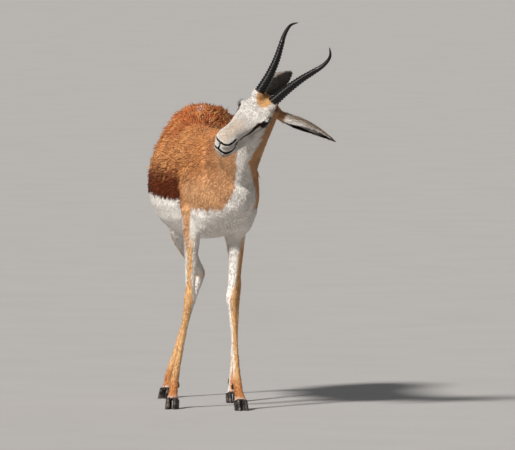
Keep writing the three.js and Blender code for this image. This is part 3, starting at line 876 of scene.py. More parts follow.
def trunk_colours(points, normals):
    _, y, z = body_places(points).T
    off = trunk_middle(points)
    rough = waves(points, 0.012, 3) * 0.006
    colours = np.tile(np.array(SIDE_GOLD), (len(points), 1))
    colours = lay_over(colours, BACK_RED, ramp(z + rough * 3, 0.68, 0.76) * ramp(y, -0.20, 0.10))
    colours = lay_over(colours, BACK_RED, 0.5 * ramp(y, 0.12, 0.25))
    colours = lay_over(colours, NECK_FAWN, (1 - ramp(z, 0.59, 0.67)) * (1 - ramp(y, -0.22, -0.14)))
    floor = band_floor(y)
    front_edge = np.interp(z, [0.55, 0.59, 0.655], [-0.172, -0.177, -0.156])
    band = ramp(y + rough, front_edge - 0.004, front_edge + 0.008)
    behind = ramp(y, 0.06, 0.32)
    band = band * (1 - ramp(z + rough * 2.2 + 0.030 * behind, 0.618, 0.680))
    band = band * (1 - ramp(y + rough, 0.27, 0.33)) * (1 - 0.25 * behind)
    colours = lay_over(colours, BAND_BROWN, band)
    chest_line = np.where(y < front_edge, 0.546, floor)
    white = 1 - ramp(z + rough * 0.5, chest_line - 0.004, chest_line + 0.003)
    outer = np.interp(z, [0.49, 0.515, 0.535, 0.552], [0.106, 0.108, 0.113, 0.118])
    upper_leg = ramp(np.abs(off), 0.090, 0.096)
    upper_leg = upper_leg * (1 - ramp(np.abs(off), outer - 0.003, outer + 0.005))
    white = white * (1 - upper_leg * (1 - ramp(y, -0.18, -0.15)))
    thigh = ramp(y, 0.27, 0.34) * ramp(z, 0.44, 0.50) * ramp(np.abs(off), 0.070, 0.085)
    white = white * (1 - thigh)
    wedge = 0.052 * ramp(y, 0.385, 0.430)
    rump = (1 - ramp(np.abs(off) + rough * 0.5, wedge, wedge + 0.005)) * ramp(z, 0.64, 0.68)
    rump = rump * ramp(y, 0.375, 0.395)
    buttock = ramp(y + rough, 0.405, 0.425) * (1 - ramp(np.abs(off), 0.066, 0.078))
    white = np.maximum(white, np.maximum(rump, buttock))
    white = np.maximum(white, throat_strip(points, normals) * ramp(-y, 0.22, 0.25))
    return lay_over(colours, WHITE, white)


def neck_colours(points, normals):
    colours = np.tile(np.array(NECK_FAWN), (len(points), 1))
    colours = lay_over(colours, BACK_RED, 0.5 * ramp(normals[:, 2], 0.2, 0.9))
    return lay_over(colours, WHITE, throat_strip(points, normals))


def head_colours(points):
    places = head_places(points)
    left, back, up = places.T
    side = np.abs(left)
    rough = waves(points, 0.009, 8)
    colours = np.tile(np.array(WHITE), (len(points), 1))
    border = np.interp(up, [-60, -10, 10, 30], [19, 21, 30, 36])
    behind = ramp(back + rough * 2, border - 3, border + 4) * ramp(side * 1.1 + up + 70, 0, 14)
    colours = lay_over(colours, NECK_FAWN, behind)
    patch = 1 - ramp(np.hypot((left - 3) / 27, (back - 34) / 25) + rough * 0.09, 0.82, 1.10)
    colours = lay_over(colours, FOREHEAD_FAWN, patch * ramp(up, 8, 16))
    # Painted shade: a near-black patch behind the root of the left horn only, on the side turned
    # from the sun
    root = 1 - ramp(np.linalg.norm(places - [33, 50, 22], axis=1) + rough * 2, 13, 20)
    colours = lay_over(colours, TUFT_BLACK, 0.85 * root * ramp(back, 36, 44))
    nose = (1 - ramp(side + rough, 12, 21)) * (1 - ramp(back, -75, -35)) * ramp(up, -22, -14)
    colours = lay_over(colours, NOSE_TAN, 0.85 * nose)
    chin = (1 - ramp(back, -112, -100)) * (1 - ramp(up, -66, -58)) * ramp(up, -84, -76)
    colours = lay_over(colours, CHIN_TAN, 0.7 * chin)
    # Painted shade: the cheek hollows below the stripe are painted half grey, over hair that is
    # greyish there
    painted_cheek_shade = (1 - ramp(np.hypot((back + 22) / 34, (up + 36) / 17), 0.6, 1.1)) * ramp(side, 20, 28)
    colours = lay_over(colours, HAIR_GREY, 0.5 * painted_cheek_shade)
    stripe = distance_to_line(places * [0, 1, 1], STRIPE_LINE)
    wide = np.interp(back, [-92, -70, -50, -30, -14], [4.6, 5.2, 5.4, 5.4, 4.8])
    on_side = ramp(side, 15, 20) * (1 - ramp(back, -16, -10))
    grey = (1 - ramp(stripe + 2 * rough, 5, 10)) * (1 - ramp(back, -56, -46)) * on_side
    colours = lay_over(colours, HAIR_GREY, 0.6 * grey)
    dark = (1 - ramp(stripe + rough * 0.5, wide - 0.5, wide + 1.0)) * on_side
    colours = lay_over(colours, STRIPE_BROWN, dark)
    for hand in HANDS.values():
        reach, _ = lid_reach(places, hand)
        edge = 1.42 + 0.5 * ramp(-back, 2, 12) + 0.35 * ramp(back, 4, 14)
        rim = (1 - ramp(reach, edge, edge + 0.16)) * (np.abs(left - hand * 42) < 22)
        colours = lay_over(colours, BARE_DARK, rim)
    bare = 1 - ramp(distance_on_muzzle(places, MOUTH_LINE), 4.4, 5.4)
    bare = np.maximum(bare, 1 - ramp(distance_on_muzzle(places, NOSTRIL_LINE), 3.6, 4.6))
    bare = np.maximum(bare, 1 - ramp(distance_on_muzzle(places, NOSE_GROOVE), 1.9, 2.9))
    return lay_over(colours, BARE_DARK, bare)


FAWN_HEIGHTS = [0.06, 0.12, 0.25, 0.30, 0.35, 0.45]


def fawn_centres(z):
    """Where the fawn stripe of either foreleg lies, in degrees from its front outwards"""
    left = np.interp(z, FAWN_HEIGHTS, [70, 70, 72, 58, 62, 62])
    right = np.interp(z, FAWN_HEIGHTS, [50, 50, 52, 44, 22, 20])
    return left, right


def leg_colours(points, normals):
    x, y, z = body_places(points).T
    colours = np.tile(np.array(LEG_FAWN), (len(points), 1))
    colours = lay_over(colours, PASTERN_ORANGE, 1 - ramp(z, 0.05, 0.11))
    middle = np.where(y > 0.0, 0.04, 0.02)
    hand = np.sign(x - middle)
    # Turned round the leg from its front, towards the outer side
    turn = np.degrees(np.arctan2(normals[:, 0] * hand, -normals[:, 1]))
    fore = y < 0.0
    # The right hind leg is whiter in front than the left one
    turned = np.where(hand > 0, np.interp(z, [0.25, 0.42], [75, 95]),
                      np.interp(z, [0.25, 0.34, 0.42], [80, 112, 128]))
    broad = np.where(hand > 0, np.interp(z, [0.08, 0.20, 0.42], [130, 125, 95]),
                     np.interp(z, [0.08, 0.20, 0.30, 0.42], [130, 108, 86, 46]))
    centre = np.where(fore, np.where(hand > 0, *fawn_centres(z)), turned)
    half = np.where(fore, np.interp(z, FAWN_HEIGHTS, [180, 112, 105, 78, 30, 28]), broad)
    apart = np.abs((turn - centre + 180) % 360 - 180) + waves(points, 0.012, 11) * 5
    colours = lay_over(colours, WHITE, ramp(apart, half - 9, half + 9))
    cuff = (1 - ramp(z, 0.030, 0.040)) * 0.5
    return lay_over(colours, WHITE, cuff)


def tail_colours(points):
    z = points[:, 2]
    dark = 1 - ramp(z, TAIL_LOW.z + 0.085, TAIL_LOW.z + 0.115)
    return lay_over(np.tile(np.array(WHITE), (len(points), 1)), TUFT_BLACK, dark)


def markings(points, normals):
    """The coat's colour at many points of the body"""
    colours = trunk_colours(points, normals)
    colours = lay_over(colours, neck_colours(points, normals), is_neck(points))
    colours = lay_over(colours, head_colours(points), is_head(points))
    colours = lay_over(colours, leg_colours(points, normals), is_leg(points))
    return lay_over(colours, tail_colours(points), is_tail(points))


def ear_places(points, hand):
    """Share of the length, and how far round the cup from its back, of points near an ear"""
    root, out, front, across = (np.array(item) for item in ear_frame(hand))
    away = points - root
    share = away @ out / EAR_LENGTH
    round_cup = np.arctan2(away @ across, -(away @ front))
    return share, round_cup


def away_left(points, root, out):
    """How far points lie to the animal's left of the ear's own axis"""
    away = points - root
    return (away - np.outer(away @ out, out))[:, 0]


def ear_colours(points, normals, hand):
    share, round_cup = ear_places(points, hand)
    root, out, front, across = (np.array(item) for item in ear_frame(hand))
    half = np.interp(share, EAR_LEAF[:, 0], EAR_LEAF[:, 1]) * EAR_HALF
    away = points - root
    inside = ramp((normals * (-(away @ across)[:, None] * across
                              - (away @ front)[:, None] * front)).sum(1) / np.maximum(half, 0.003),
                  -0.1, 0.3)
    upper = -np.sign(across[2])
    outer = np.tile(np.array(WHITE), (len(points), 1)) * 0.70
    if hand == 1:
        ridge = np.exp(-((round_cup * -upper - 0.9) / 0.62) ** 2)
        outer = lay_over(outer, EAR_GREY, ridge * ramp(share, 0.05, 0.2))
    else:
        outer = lay_over(outer, EAR_GREY, np.full(len(points), 0.6))
        # Painted shade: the half of the right ear's back that is turned from the sun is painted
        # near black
        painted_shade_half = ramp(away_left(points, root, out), -0.005, 0.002)
        outer = lay_over(outer, BARE_DARK, 0.92 * painted_shade_half)
    outer = lay_over(outer, FOREHEAD_FAWN, (1 - ramp(share, 0.06, 0.14)) * 0.8)
    outer = lay_over(outer, TUFT_BLACK, 0.8 * ramp(share, 0.86, 0.97))
    # The inside of the cup is near black: dark bare skin, with the painted shade of the deep cup
    # laid over it
    inner = np.tile(np.array(BARE_DARK), (len(points), 1)) * 1.2
    streak = ramp(np.cos(round_cup * 5.0), 0.1, 0.8) * (1 - ramp(share, 0.55, 0.8)) * 0.7
    inner = lay_over(inner, WHITE, streak)
    return lay_over(outer, inner, inside)


def ear_of(points):
    """Which ear each point belongs to: 1, -1 or 0"""
    owner = np.zeros(len(points))
    for hand in HANDS.values():
        root, out, _, _ = (np.array(item) for item in ear_frame(hand))
        away = points - root
        share = away @ out / EAR_LENGTH
        aside = np.linalg.norm(away - np.outer(away @ out, out), axis=1)
        owner[(share > 0.10) & (share < 1.05) & (aside < 0.032)] = hand
    return owner


def all_colours(points, normals):
    colours = markings(points, normals)
    owner = ear_of(points)
    for hand in HANDS.values():
        mine = owner == hand
        if mine.any():
            colours[mine] = ear_colours(points[mine], normals[mine], hand)
    return colours


print("belly colour:", all_colours(np.array([BODY_AT + Vector((0, 0, 0.46))]),
                                   np.array([[0, 0, -1.0]])).round(2))

# %% [markdown]
# ## The lie of the coat
# Hair grows backwards from the nose, down and back over neck and sides, and straight down the
# legs. Each lock and the fine grain of the short fur both need that direction, so it is one
# function, laid flat on the skin at each point.

# %% Direction of the hair
NECK_LIE = (-0.20, 0.62, -0.80)
HEAD_LIE = HEAD_AXES @ Vector((0, 1, 0.05))
LEG_LIE = (0, 0.10, -1.0)
TAIL_LIE = (0, 0.05, -1.0)


def coat_lie(points, normals):
    y = body_places(points)[:, 1]
    side = np.abs(normals[:, 0])
    lie = np.zeros_like(points)
    lie[:, 1] = 1.0 - 0.6 * ramp(y, 0.28, 0.42)
    lie[:, 2] = -0.15 - 0.75 * side - 1.1 * ramp(y, 0.25, 0.42) - 0.9 * ramp(-y, 0.16, 0.30)
    lie[:, 0] = 0.30 * normals[:, 0]
    lie = lay_over(lie, NECK_LIE, is_neck(points))
    lie = lay_over(lie, HEAD_LIE, is_head(points))
    lie = lay_over(lie, LEG_LIE, is_leg(points))
    lie = lay_over(lie, TAIL_LIE, is_tail(points))
    owner = ear_of(points)
    for hand in HANDS.values():
        lie[owner == hand] = ear_frame(hand)[1]
    return flat_on(lie, normals)


def flat_on(directions, normals):
    """Directions laid flat on the skin"""
    flat = directions - normals * (directions * normals).sum(1)[:, None]
    return flat / np.maximum(np.linalg.norm(flat, axis=1), 1e-6)[:, None]


def turned_about(directions, normals, angles):
    """Each direction turned about its normal by an angle"""
    aside = np.cross(normals, directions)
    return directions * np.cos(angles)[:, None] + aside * np.sin(angles)[:, None]


# %% [markdown]
# ## Skin material
# The skin takes its colour from the markings. Where the coat is short, on face and legs, the
# fur is a fine grain along its lie: noise read from places squeezed along that direction, so
# that it draws out into hair-thin streaks, which tint the colour and raise a small bump.

# %% Paint the skin
def paint(data, colours, name="coat_colour"):
    layer = data.attributes.new(name, "FLOAT_COLOR", "POINT")
    shades = np.ones((len(colours), 4))
    shades[:, :3] = np.clip(colours, 0, 1)
    layer.data.foreach_set("color", shades.ravel())


def store_directions(data, directions):
    layer = data.attributes.new("lie", "FLOAT_VECTOR", "POINT")
    layer.data.foreach_set("vector", directions.ravel())


def fur_material():
    material, start, shader = new_material("short_fur", {
        "Roughness": 0.85, "Specular IOR Level": 0.15})
    colour = start.node("ShaderNodeAttribute", {"attribute_name": "coat_colour"})
    lie = start.node("ShaderNodeAttribute", {"attribute_name": "lie"}, output=1)
    place = start.node("ShaderNodeTexCoord", output=3)
    along = start.vector("DOT_PRODUCT", place, lie, output=1)
    pulled = start.node("ShaderNodeVectorMath", {"operation": "SCALE"},
                        {0: lie, "Scale": along * 0.9})
    squeezed = start.vector("SUBTRACT", place, pulled)
    hairs = start.node("ShaderNodeTexNoise", inputs={
        "Vector": squeezed, "Scale": 850.0, "Detail": 3.0, "Roughness": 0.6})
    clumps = start.node("ShaderNodeTexNoise", inputs={
        "Vector": squeezed, "Scale": 220.0, "Detail": 2.0})
    shade = 0.66 + hairs * 0.42 + clumps * 0.26
    plug(colour.tinted(shade), shader, "Base Color")
    bumped(start, hairs * 0.6 + clumps, 0.0012, 0.55, shader)
    return material


FUR = fur_material()
skin_points = mesh_points(skin.data)
skin_normals = mesh_normals(skin.data)
paint(skin.data, all_colours(skin_points, skin_normals))
store_directions(skin.data, coat_lie(skin_points, skin_normals))
skin.data.materials.clear()
skin.data.materials.append(FUR)
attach(skin, "root")
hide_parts(*FLESH, "tail", "ear_left", "ear_right")
print("skin painted,", len(skin_points), "points")

# %% [markdown]
# ## Eyes
# A springbok's eye is large and nearly black, with a level pupil. The eyeball is a sphere with
# a slight dome for the cornea, under a faint wet gloss.

# %% Eyeballs
IRIS_RADIUS = 0.012
PUPIL_FLATNESS = 1.7
CORNEA_FROM = 0.72
CORNEA_RISE = 0.035


def eye_material(hand):
    material, start, shader = new_material("eye_" + str(hand + 1), {
        "Roughness": 0.12, "Specular IOR Level": 0.12, "Coat Weight": 0.04,
        "Coat Roughness": 0.03})
    centre = on_head(*EYE_PLACES[hand])
    place = start.node("ShaderNodeTexCoord", output=3)
    away = start.vector("SUBTRACT", place, tuple(centre))
    fore = HEAD_AXES @ Vector((0, 1, 0.2))
    high = HEAD_AXES @ Vector((0, -0.2, 1))
    along = start.vector("DOT_PRODUCT", away, tuple(fore), output=1)
    across = start.vector("DOT_PRODUCT", away, tuple(high), output=1) * PUPIL_FLATNESS
    spread = start.maths("POWER", along * along + across * across, 0.5)
    iris = start.node("ShaderNodeValToRGB", {"stops": [
        (0.0, srgb(6, 5, 5)), (0.40, srgb(8, 6, 5)), (0.50, srgb(52, 30, 16)),
        (0.85, srgb(34, 20, 12)), (1.0, srgb(20, 14, 12))]},
        {"Fac": spread * (1 / IRIS_RADIUS)})
    plug(iris, shader, "Base Color")
    return material


def build_eye(name, hand):
    shape = bmesh.new()
    outward = HEAD_AXES @ Vector((hand, -0.25, 0.08))
    turn = level(outward).to_4x4()
    matrix = Matrix.Translation(on_head(*EYE_PLACES[hand])) @ turn
    radius = (EYE_RADIUS - 0.2) * MM
    bmesh.ops.create_uvsphere(shape, u_segments=36, v_segments=24, radius=radius)
    for vert in shape.verts:
        dome = max(vert.co.z / radius - CORNEA_FROM, 0) / (1 - CORNEA_FROM)
        vert.co *= 1 + CORNEA_RISE * dome * (2 - dome)
    bmesh.ops.transform(shape, matrix=matrix, verts=shape.verts)
    eye = finish_mesh("eyeball_" + name, shape)
    eye.data.shade_smooth()
    eye.data.materials.append(eye_material(hand))
    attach(eye, "root")
    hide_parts("eye_" + name)
    return eye


eyes = [build_eye(name, hand) for name, hand in HANDS.items()]
print("eyes:", len(eyes))

# %% [markdown]
# ## Horns
# Each horn is swept along its curve from many rings of points: wide and narrow by turns over
# the ringed two thirds, then smooth to a sharp tip. Black horn shines a little on the rings.

# %% Sweep the horns
HORN_RADIUS = 14.3
HORN_RISE = 210.0
HORN_LEAN = math.radians(50)
HORN_ROOT_OUT = 23.5
HORN_WIDEST_OUT = 73.0
HORN_TIP_OUT = 56.0
HORN_SIDES = 22
HORN_RINGS = 19
HORN_RINGS_FROM = 0.012
HORN_RINGED_PART = 0.68
HORN_SMOOTH_STEPS = 18
HORN_CURVE_STEPS = 12
# The form of one ring: share of the way to the next, and how far it swells, in millimetres
RING_FORM = [(0.0, -1.5), (0.28, 0.7), (0.5, 1.5), (0.74, 0.6)]


def horn_curve(hand):
    """Closely spaced places on a smooth curve along a horn, root to tip"""
    middle = (HORN_ROOT_OUT + HORN_WIDEST_OUT) / 2
    # Share of the rise, how far out, and how far bowed back, in millimetres
    route = np.array([
        [-0.03, HORN_ROOT_OUT - 1, 0],
        [0.00, HORN_ROOT_OUT, 0],
        [0.23, HORN_ROOT_OUT + 8.5, 4],
        [0.45, middle - 3.5, 6],
        [0.62, middle + 10.5, 6],
        [0.75, HORN_WIDEST_OUT - 3.5, 4.5],
        [0.86, HORN_WIDEST_OUT, 2],
        [0.93, HORN_WIDEST_OUT - 3.5, -2],
        [1.00, HORN_TIP_OUT, -7.5],
    ])
    up = Vector((0, math.sin(HORN_LEAN), math.cos(HORN_LEAN)))
    back = Vector((0, math.cos(HORN_LEAN), -math.sin(HORN_LEAN)))
    corners = [on_head(*(Vector((hand * out, 40, 36)) + up * (rise * HORN_RISE) + back * bow))
               for rise, out, bow in route]
    places = []
    ends = [corners[0] * 2 - corners[1]] + corners + [corners[-1] * 2 - corners[-2]]
    for first, start, end, last in zip(ends, ends[1:], ends[2:], ends[3:]):
        for step in range(HORN_CURVE_STEPS):
            share = step / HORN_CURVE_STEPS
            places.append(0.5 * ((2 * start) + (end - first) * share
                                 + (2 * first - 5 * start + 4 * end - last) * share ** 2
                                 + (3 * start - first - 3 * end + last) * share ** 3))
    places.append(corners[-1])
    return np.array(places)


def at_share(places, share):
    steps = np.linalg.norm(np.diff(places, axis=0), axis=1)
    travelled = np.concatenate([[0], np.cumsum(steps)]) / steps.sum()
    return Vector([np.interp(share, travelled, places[:, axis]) for axis in range(3)])


def horn_girth(share):
    taper = HORN_RADIUS * math.sqrt(1 - share) * (1 - 0.25 * share)
    return max(taper, 0.7) * MM


def build_horn(name, hand):
    places = horn_curve(hand)
    side = HEAD_AXES @ Vector((1, 0, 0))
    ringed = HORN_RINGED_PART - HORN_RINGS_FROM
    shares = [0.0]
    swells = [-3 * MM]
    for ring in range(HORN_RINGS):
        for part, swell in RING_FORM:
            share = HORN_RINGS_FROM + (ring + part) / HORN_RINGS * ringed
            shares.append(share)
            swells.append(swell * MM * (1 - 0.6 * share))
    for step in range(HORN_SMOOTH_STEPS):
        shares.append(HORN_RINGED_PART + (1 - HORN_RINGED_PART) * step / HORN_SMOOTH_STEPS)
        swells.append(0.0)
    shares.append(1.0)
    swells.append(0.0)
    points = [at_share(places, share) for share in shares]
    sizes = [(horn_girth(share) + swell,) * 2 for share, swell in zip(shares, swells)]
    shape = bmesh.new()
    swept(shape, route_stations(points, sizes, side), HORN_SIDES)
    bmesh.ops.recalc_face_normals(shape, faces=shape.faces)
    horn = finish_mesh("horn_sheath_" + name, shape)
    horn.data.shade_smooth()
    horn.data.materials.append(HORN_MATERIAL)
    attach(horn, "root")
    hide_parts("horn_" + name)
    return horn


def horn_material():
    material, start, shader = new_material("black_horn", {"Specular IOR Level": 0.36})
    place = start.node("ShaderNodeTexCoord", output=3)
    fibre = start.node("ShaderNodeTexNoise", inputs={"Vector": place, "Scale": 260.0,
                                                     "Detail": 5.0, "Roughness": 0.65})
    stain = start.node("ShaderNodeTexNoise", inputs={"Vector": place, "Scale": 38.0,
                                                     "Detail": 3.0})
    dusty = start.mix(stain, (*srgb(7, 6, 6), 1), (*srgb(26, 23, 21), 1))
    plug(dusty.tinted(0.6 + fibre * 0.6), shader, "Base Color")
    plug(0.22 + fibre * 0.24, shader, "Roughness")
    bumped(start, fibre, 0.0004, 0.4, shader)
    return material


HORN_MATERIAL = horn_material()
horns = [build_horn(name, hand) for name, hand in HANDS.items()]
print("horn faces:", [len(horn.data.polygons) for horn in horns])

# %% [markdown]
# ## Hooves
# The claws of each hoof are solids of the right shape with hard corners. A merged copy gets
# rounded edges, so that the wall turns softly into the sole, and a dusty grey keratin.

# %% Round the claws
FLAT_BELOW = math.radians(4)
CORNER_ABOVE = math.radians(18)
CORNER_ROUND = 1.1 * MM


def hoof_material():
    material, start, shader = new_material("grey_hoof", {"Specular IOR Level": 0.4})
    place = start.node("ShaderNodeTexCoord", output=3)
    bands = start.node("ShaderNodeTexNoise", inputs={
        "Vector": start.vector("MULTIPLY", place, (40.0, 40.0, 420.0)), "Scale": 1.0,
        "Detail": 3.0})
    dust = start.node("ShaderNodeTexNoise", inputs={"Vector": place, "Scale": 90.0,
                                                    "Detail": 4.0})
    worn = start.node("ShaderNodeValToRGB", {"stops": [
        (0.42, srgb(24, 23, 24)), (0.54, srgb(58, 52, 49)), (0.66, srgb(128, 114, 102))]},
        {"Fac": dust})
    plug(worn.tinted(0.75 + bands * 0.4), shader, "Base Color")
    plug(0.5 + dust * 0.25, shader, "Roughness")
    bumped(start, bands, 0.0008, 0.5, shader)
    return material


HOOF_MATERIAL = hoof_material()


def build_claw(node):
    shape = merged_copy(node, 0)
    bmesh.ops.dissolve_limit(shape, angle_limit=FLAT_BELOW, verts=shape.verts,
                             edges=shape.edges)
    sharp = [edge for edge in shape.edges
             if edge.is_manifold and edge.calc_face_angle() > CORNER_ABOVE]
    bmesh.ops.bevel(shape, geom=sharp, offset=CORNER_ROUND, offset_type="OFFSET", segments=3,
                    profile=0.5, affect="EDGES", clamp_overlap=True, material=-1)
    bmesh.ops.triangulate(shape, faces=shape.faces)
    piece = finish_mesh("keratin_" + node, shape)
    piece.data.shade_smooth()
    piece.data.materials.append(HOOF_MATERIAL)
    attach(piece, "root")
    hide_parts(node)
    return piece


claws = [build_claw(node) for node in sorted(NODES) if "hoof" in node or "dewclaw" in node]
print("claws:", len(claws))

# %% [markdown]
# ## Where each lock takes its colour when baked
# A coat piece baked to a picture needs a map on which every lock has its own small patch.
# A coarse copy of the skin is unwrapped once, and each lock's patch lies at its root's place
# on that unwrap, so neighbours on the body are neighbours on the map.

# %% Unwrap a coarse copy of the skin
MAP_VOXEL = 16 * MM
# How much of the map one lock's patch takes up, out of one
MAP_PATCH = 0.0026


def unwrapped_copy():
    coarse = add_object("coarse", skin.data.copy())
    remesh_whole(coarse, MAP_VOXEL)
    bpy.ops.object.select_all(action="DESELECT")
    bpy.context.view_layer.objects.active = coarse
    coarse.select_set(True)
    bpy.ops.object.mode_set(mode="EDIT")
    bpy.ops.mesh.select_all(action="SELECT")
    bpy.ops.uv.smart_project(angle_limit=math.radians(66), island_margin=0.004)
    bpy.ops.object.mode_set(mode="OBJECT")
    shape = bmesh.new()
    shape.from_mesh(coarse.data)
    bmesh.ops.triangulate(shape, faces=shape.faces)
    layer = shape.loops.layers.uv.active
    corners = np.array([[loop.vert.co for loop in face.loops] for face in shape.faces])
    places = np.array([[loop[layer].uv for loop in face.loops] for face in shape.faces])
    tree = BVHTree.FromBMesh(shape)
    shape.free()
    bpy.data.objects.remove(coarse)
    return tree, corners, places


MAP_TREE, MAP_CORNERS, MAP_PLACES = unwrapped_copy()


def map_places(points):
    """Each point's place on the unwrap of the coarse skin"""
    faces = np.array([MAP_TREE.find_nearest(point)[2] for point in points])
    a, b, c = (MAP_CORNERS[faces, corner] for corner in range(3))
    ab, ac, ap = b - a, c - a, points - a
    d00, d01, d11 = (ab * ab).sum(1), (ab * ac).sum(1), (ac * ac).sum(1)
    d20, d21 = (ap * ab).sum(1), (ap * ac).sum(1)
    scale = np.maximum(d00 * d11 - d01 * d01, 1e-18)
    second = np.clip((d11 * d20 - d01 * d21) / scale, 0, 1)
    third = np.clip((d00 * d21 - d01 * d20) / scale, 0, 1 - second)
    weights = np.stack([1 - second - third, second, third], 1)
    return (MAP_PLACES[faces] * weights[:, :, None]).sum(1)


print("map faces:", len(MAP_CORNERS))

# %% [markdown]
# ## Growing locks
# A lock is a thin closed body: three points at each of two or three stations, the first just
# under the skin, and one point at its tip. Thousands of them are worked out together as arrays
# and joined in one mesh. Roots are drawn at random over the skin, by a density of its own for
# each part.

# %% Roots and locks
# For locks of two and three stations: how far along each lies, how wide it is and how high
LOCK_FORMS = {
    2: [(0.0, 0.8, -0.25), (0.5, 0.95, 0.85)],
    3: [(0.0, 0.75, -0.25), (0.36, 1.0, 0.62), (0.72, 0.72, 1.0)],
}
LOCK_RIDGE = 0.55


def skin_triangles():
    data = skin.data
    data.calc_loop_triangles()
    flat = np.empty(len(data.loop_triangles) * 3, dtype=np.int64)
    data.loop_triangles.foreach_get("vertices", flat)
    return flat.reshape(-1, 3)


TRIANGLES = skin_triangles()
CORNERS = skin_points[TRIANGLES]
CROSS = np.cross(CORNERS[:, 1] - CORNERS[:, 0], CORNERS[:, 2] - CORNERS[:, 0])
AREAS = np.linalg.norm(CROSS, axis=1) / 2
CENTRES = CORNERS.mean(1)


def scatter(count, density, seed):
    """Random roots on the skin, as many as count, spread by a density for each triangle"""
    dice = np.random.default_rng(seed)
    share = AREAS * density
    picked = dice.choice(len(AREAS), size=count, p=share / share.sum())
    first, second = dice.random((2, count))
    fold = first + second > 1
    first[fold], second[fold] = 1 - first[fold], 1 - second[fold]
    weights = np.stack([1 - first - second, first, second], 1)[:, :, None]
    roots = (CORNERS[picked] * weights).sum(1)
    normals = (skin_normals[TRIANGLES[picked]] * weights).sum(1)
    normals /= np.linalg.norm(normals, axis=1)[:, None]
    return roots, normals, dice


def mesh_from_arrays(name, points, faces_by_size):
    """A mesh from one array of points and arrays of faces, each array with its own corner count"""
    data = bpy.data.meshes.new(name)
    loops = np.concatenate([faces.ravel() for faces in faces_by_size])
    sizes = np.concatenate([np.full(len(faces), faces.shape[1]) for faces in faces_by_size])
    starts = np.concatenate([[0], np.cumsum(sizes)[:-1]])
    data.vertices.add(len(points))
    data.vertices.foreach_set("co", points.astype(np.float32).ravel())
    data.loops.add(len(loops))
    data.loops.foreach_set("vertex_index", loops.astype(np.int32))
    data.polygons.add(len(sizes))
    data.polygons.foreach_set("loop_start", starts.astype(np.int32))
    data.update(calc_edges=True)
    return data, loops


def grow_locks(name, roots, normals, lies, size, colours, dice, stations=3, root_to_tip_shading=0.3):
    """Joined closed locks. size holds length, half width, height and tip height for each root"""
    length, half, height, tip = (value[:, None] for value in size)
    count = len(roots)
    across = np.cross(normals, lies)
    bend = dice.normal(0, 0.10, (count, 1)) * length
    rings = []
    for step, wide, high in LOCK_FORMS[stations]:
        middle = roots + lies * (step * length) + across * (bend * step ** 2)
        middle = middle + normals * (high * height)
        rings.append(middle - across * (half * wide))
        rings.append(middle + across * (half * wide))
        rings.append(middle + normals * (half * wide * LOCK_RIDGE))
    tips = roots + lies * length + across * bend + normals * tip
    per_lock = 3 * stations + 1
    points = np.stack(rings + [tips], 1).reshape(-1, 3)
    quads = []
    for ring in range(stations - 1):
        low = 3 * ring
        for a, b in ((0, 1), (1, 2), (2, 0)):
            quads.append([low + a, low + b, low + 3 + b, low + 3 + a])
    last = 3 * (stations - 1)
    triangles = [[last, last + 1, last + 3], [last + 1, last + 2, last + 3],
                 [last + 2, last, last + 3], [0, 2, 1]]
    offsets = (np.arange(count) * per_lock)[:, None, None]
    quads = (np.array(quads)[None] + offsets).reshape(-1, 4)
    triangles = (np.array(triangles)[None] + offsets).reshape(-1, 3)
    data, loops = mesh_from_arrays(name, points, [quads, triangles])
    piece = add_object(name, data)

    # Painted shade at the root, in the gaps between locks, and painted light at the tip
    run = np.append(np.repeat(np.linspace(-1.0, 0.15, stations), 3), 0.5)
    tone = 1 + np.broadcast_to(root_to_tip_shading, count)[:, None] * run[None]
    paint(data, (colours[:, None, :] * tone[:, :, None]).reshape(-1, 3))

    corner = loops % per_lock
    run = np.minimum(corner // 3, stations) / stations
    aside = np.where(corner == per_lock - 1, 0.5, np.array([0.0, 1.0, 0.5])[corner % 3])
    strand = data.uv_layers.new(name="Strand")
    owner = loops // per_lock
    strand.data.foreach_set("uv", np.stack([aside + (owner % 61) * 1.7, run], 1).ravel())
    baked = data.uv_layers.new(name="OFBake")
    spot = map_places(roots)[owner]
    spot = spot + np.stack([(aside - 0.5) * MAP_PATCH, (run - 0.5) * MAP_PATCH], 1)
    baked.data.foreach_set("uv", spot.ravel())
    data.materials.append(LOCK_MATERIAL)
    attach(piece, "root")
    return piece


def lock_material():
    material, start, shader = new_material("coat_locks", {
        "Roughness": 0.62, "Specular IOR Level": 0.22})
    colour = start.node("ShaderNodeAttribute", {"attribute_name": "coat_colour"})
    strand = start.node("ShaderNodeUVMap", {"uv_map": "Strand"})
    stretched = start.vector("MULTIPLY", strand, (7.0, 0.9, 1.0))
    hairs = start.node("ShaderNodeTexNoise", inputs={"Vector": stretched, "Scale": 1.0,
                                                     "Detail": 2.0, "Roughness": 0.6})
    plug(colour.tinted(0.55 + hairs * 0.85), shader, "Base Color")
    bumped(start, hairs, 0.0006, 0.6, shader)
    return material


LOCK_MATERIAL = lock_material()
print("triangles of skin to grow from:", len(TRIANGLES))

# %% [markdown]
# ## The coat, part by part
# On back and rump the hair is long enough to part into rough, pointed clumps. It is smoother
# on neck and belly, short on the legs, and shortest on the face. Each part gets locks of its
# own size, and slow waves over the body turn and lift them together, as real hair lies.

# %% Sizes of the locks
LOCK_COUNTS = {"under": 30000, "top": 15000, "neck": 19500, "head": 30000, "legs": 19500,
               "ears": 6000, "tail": 1600}
BACK_FOLD_HAIRS = 150
LASHES = 26


def random_sizes(dice, count, length, half, height, tip, spread=0.28):
    vary = np.exp(dice.normal(0, spread, (4, count)))
    return [length * vary[0], half * vary[1], height * vary[2], tip * vary[3]]


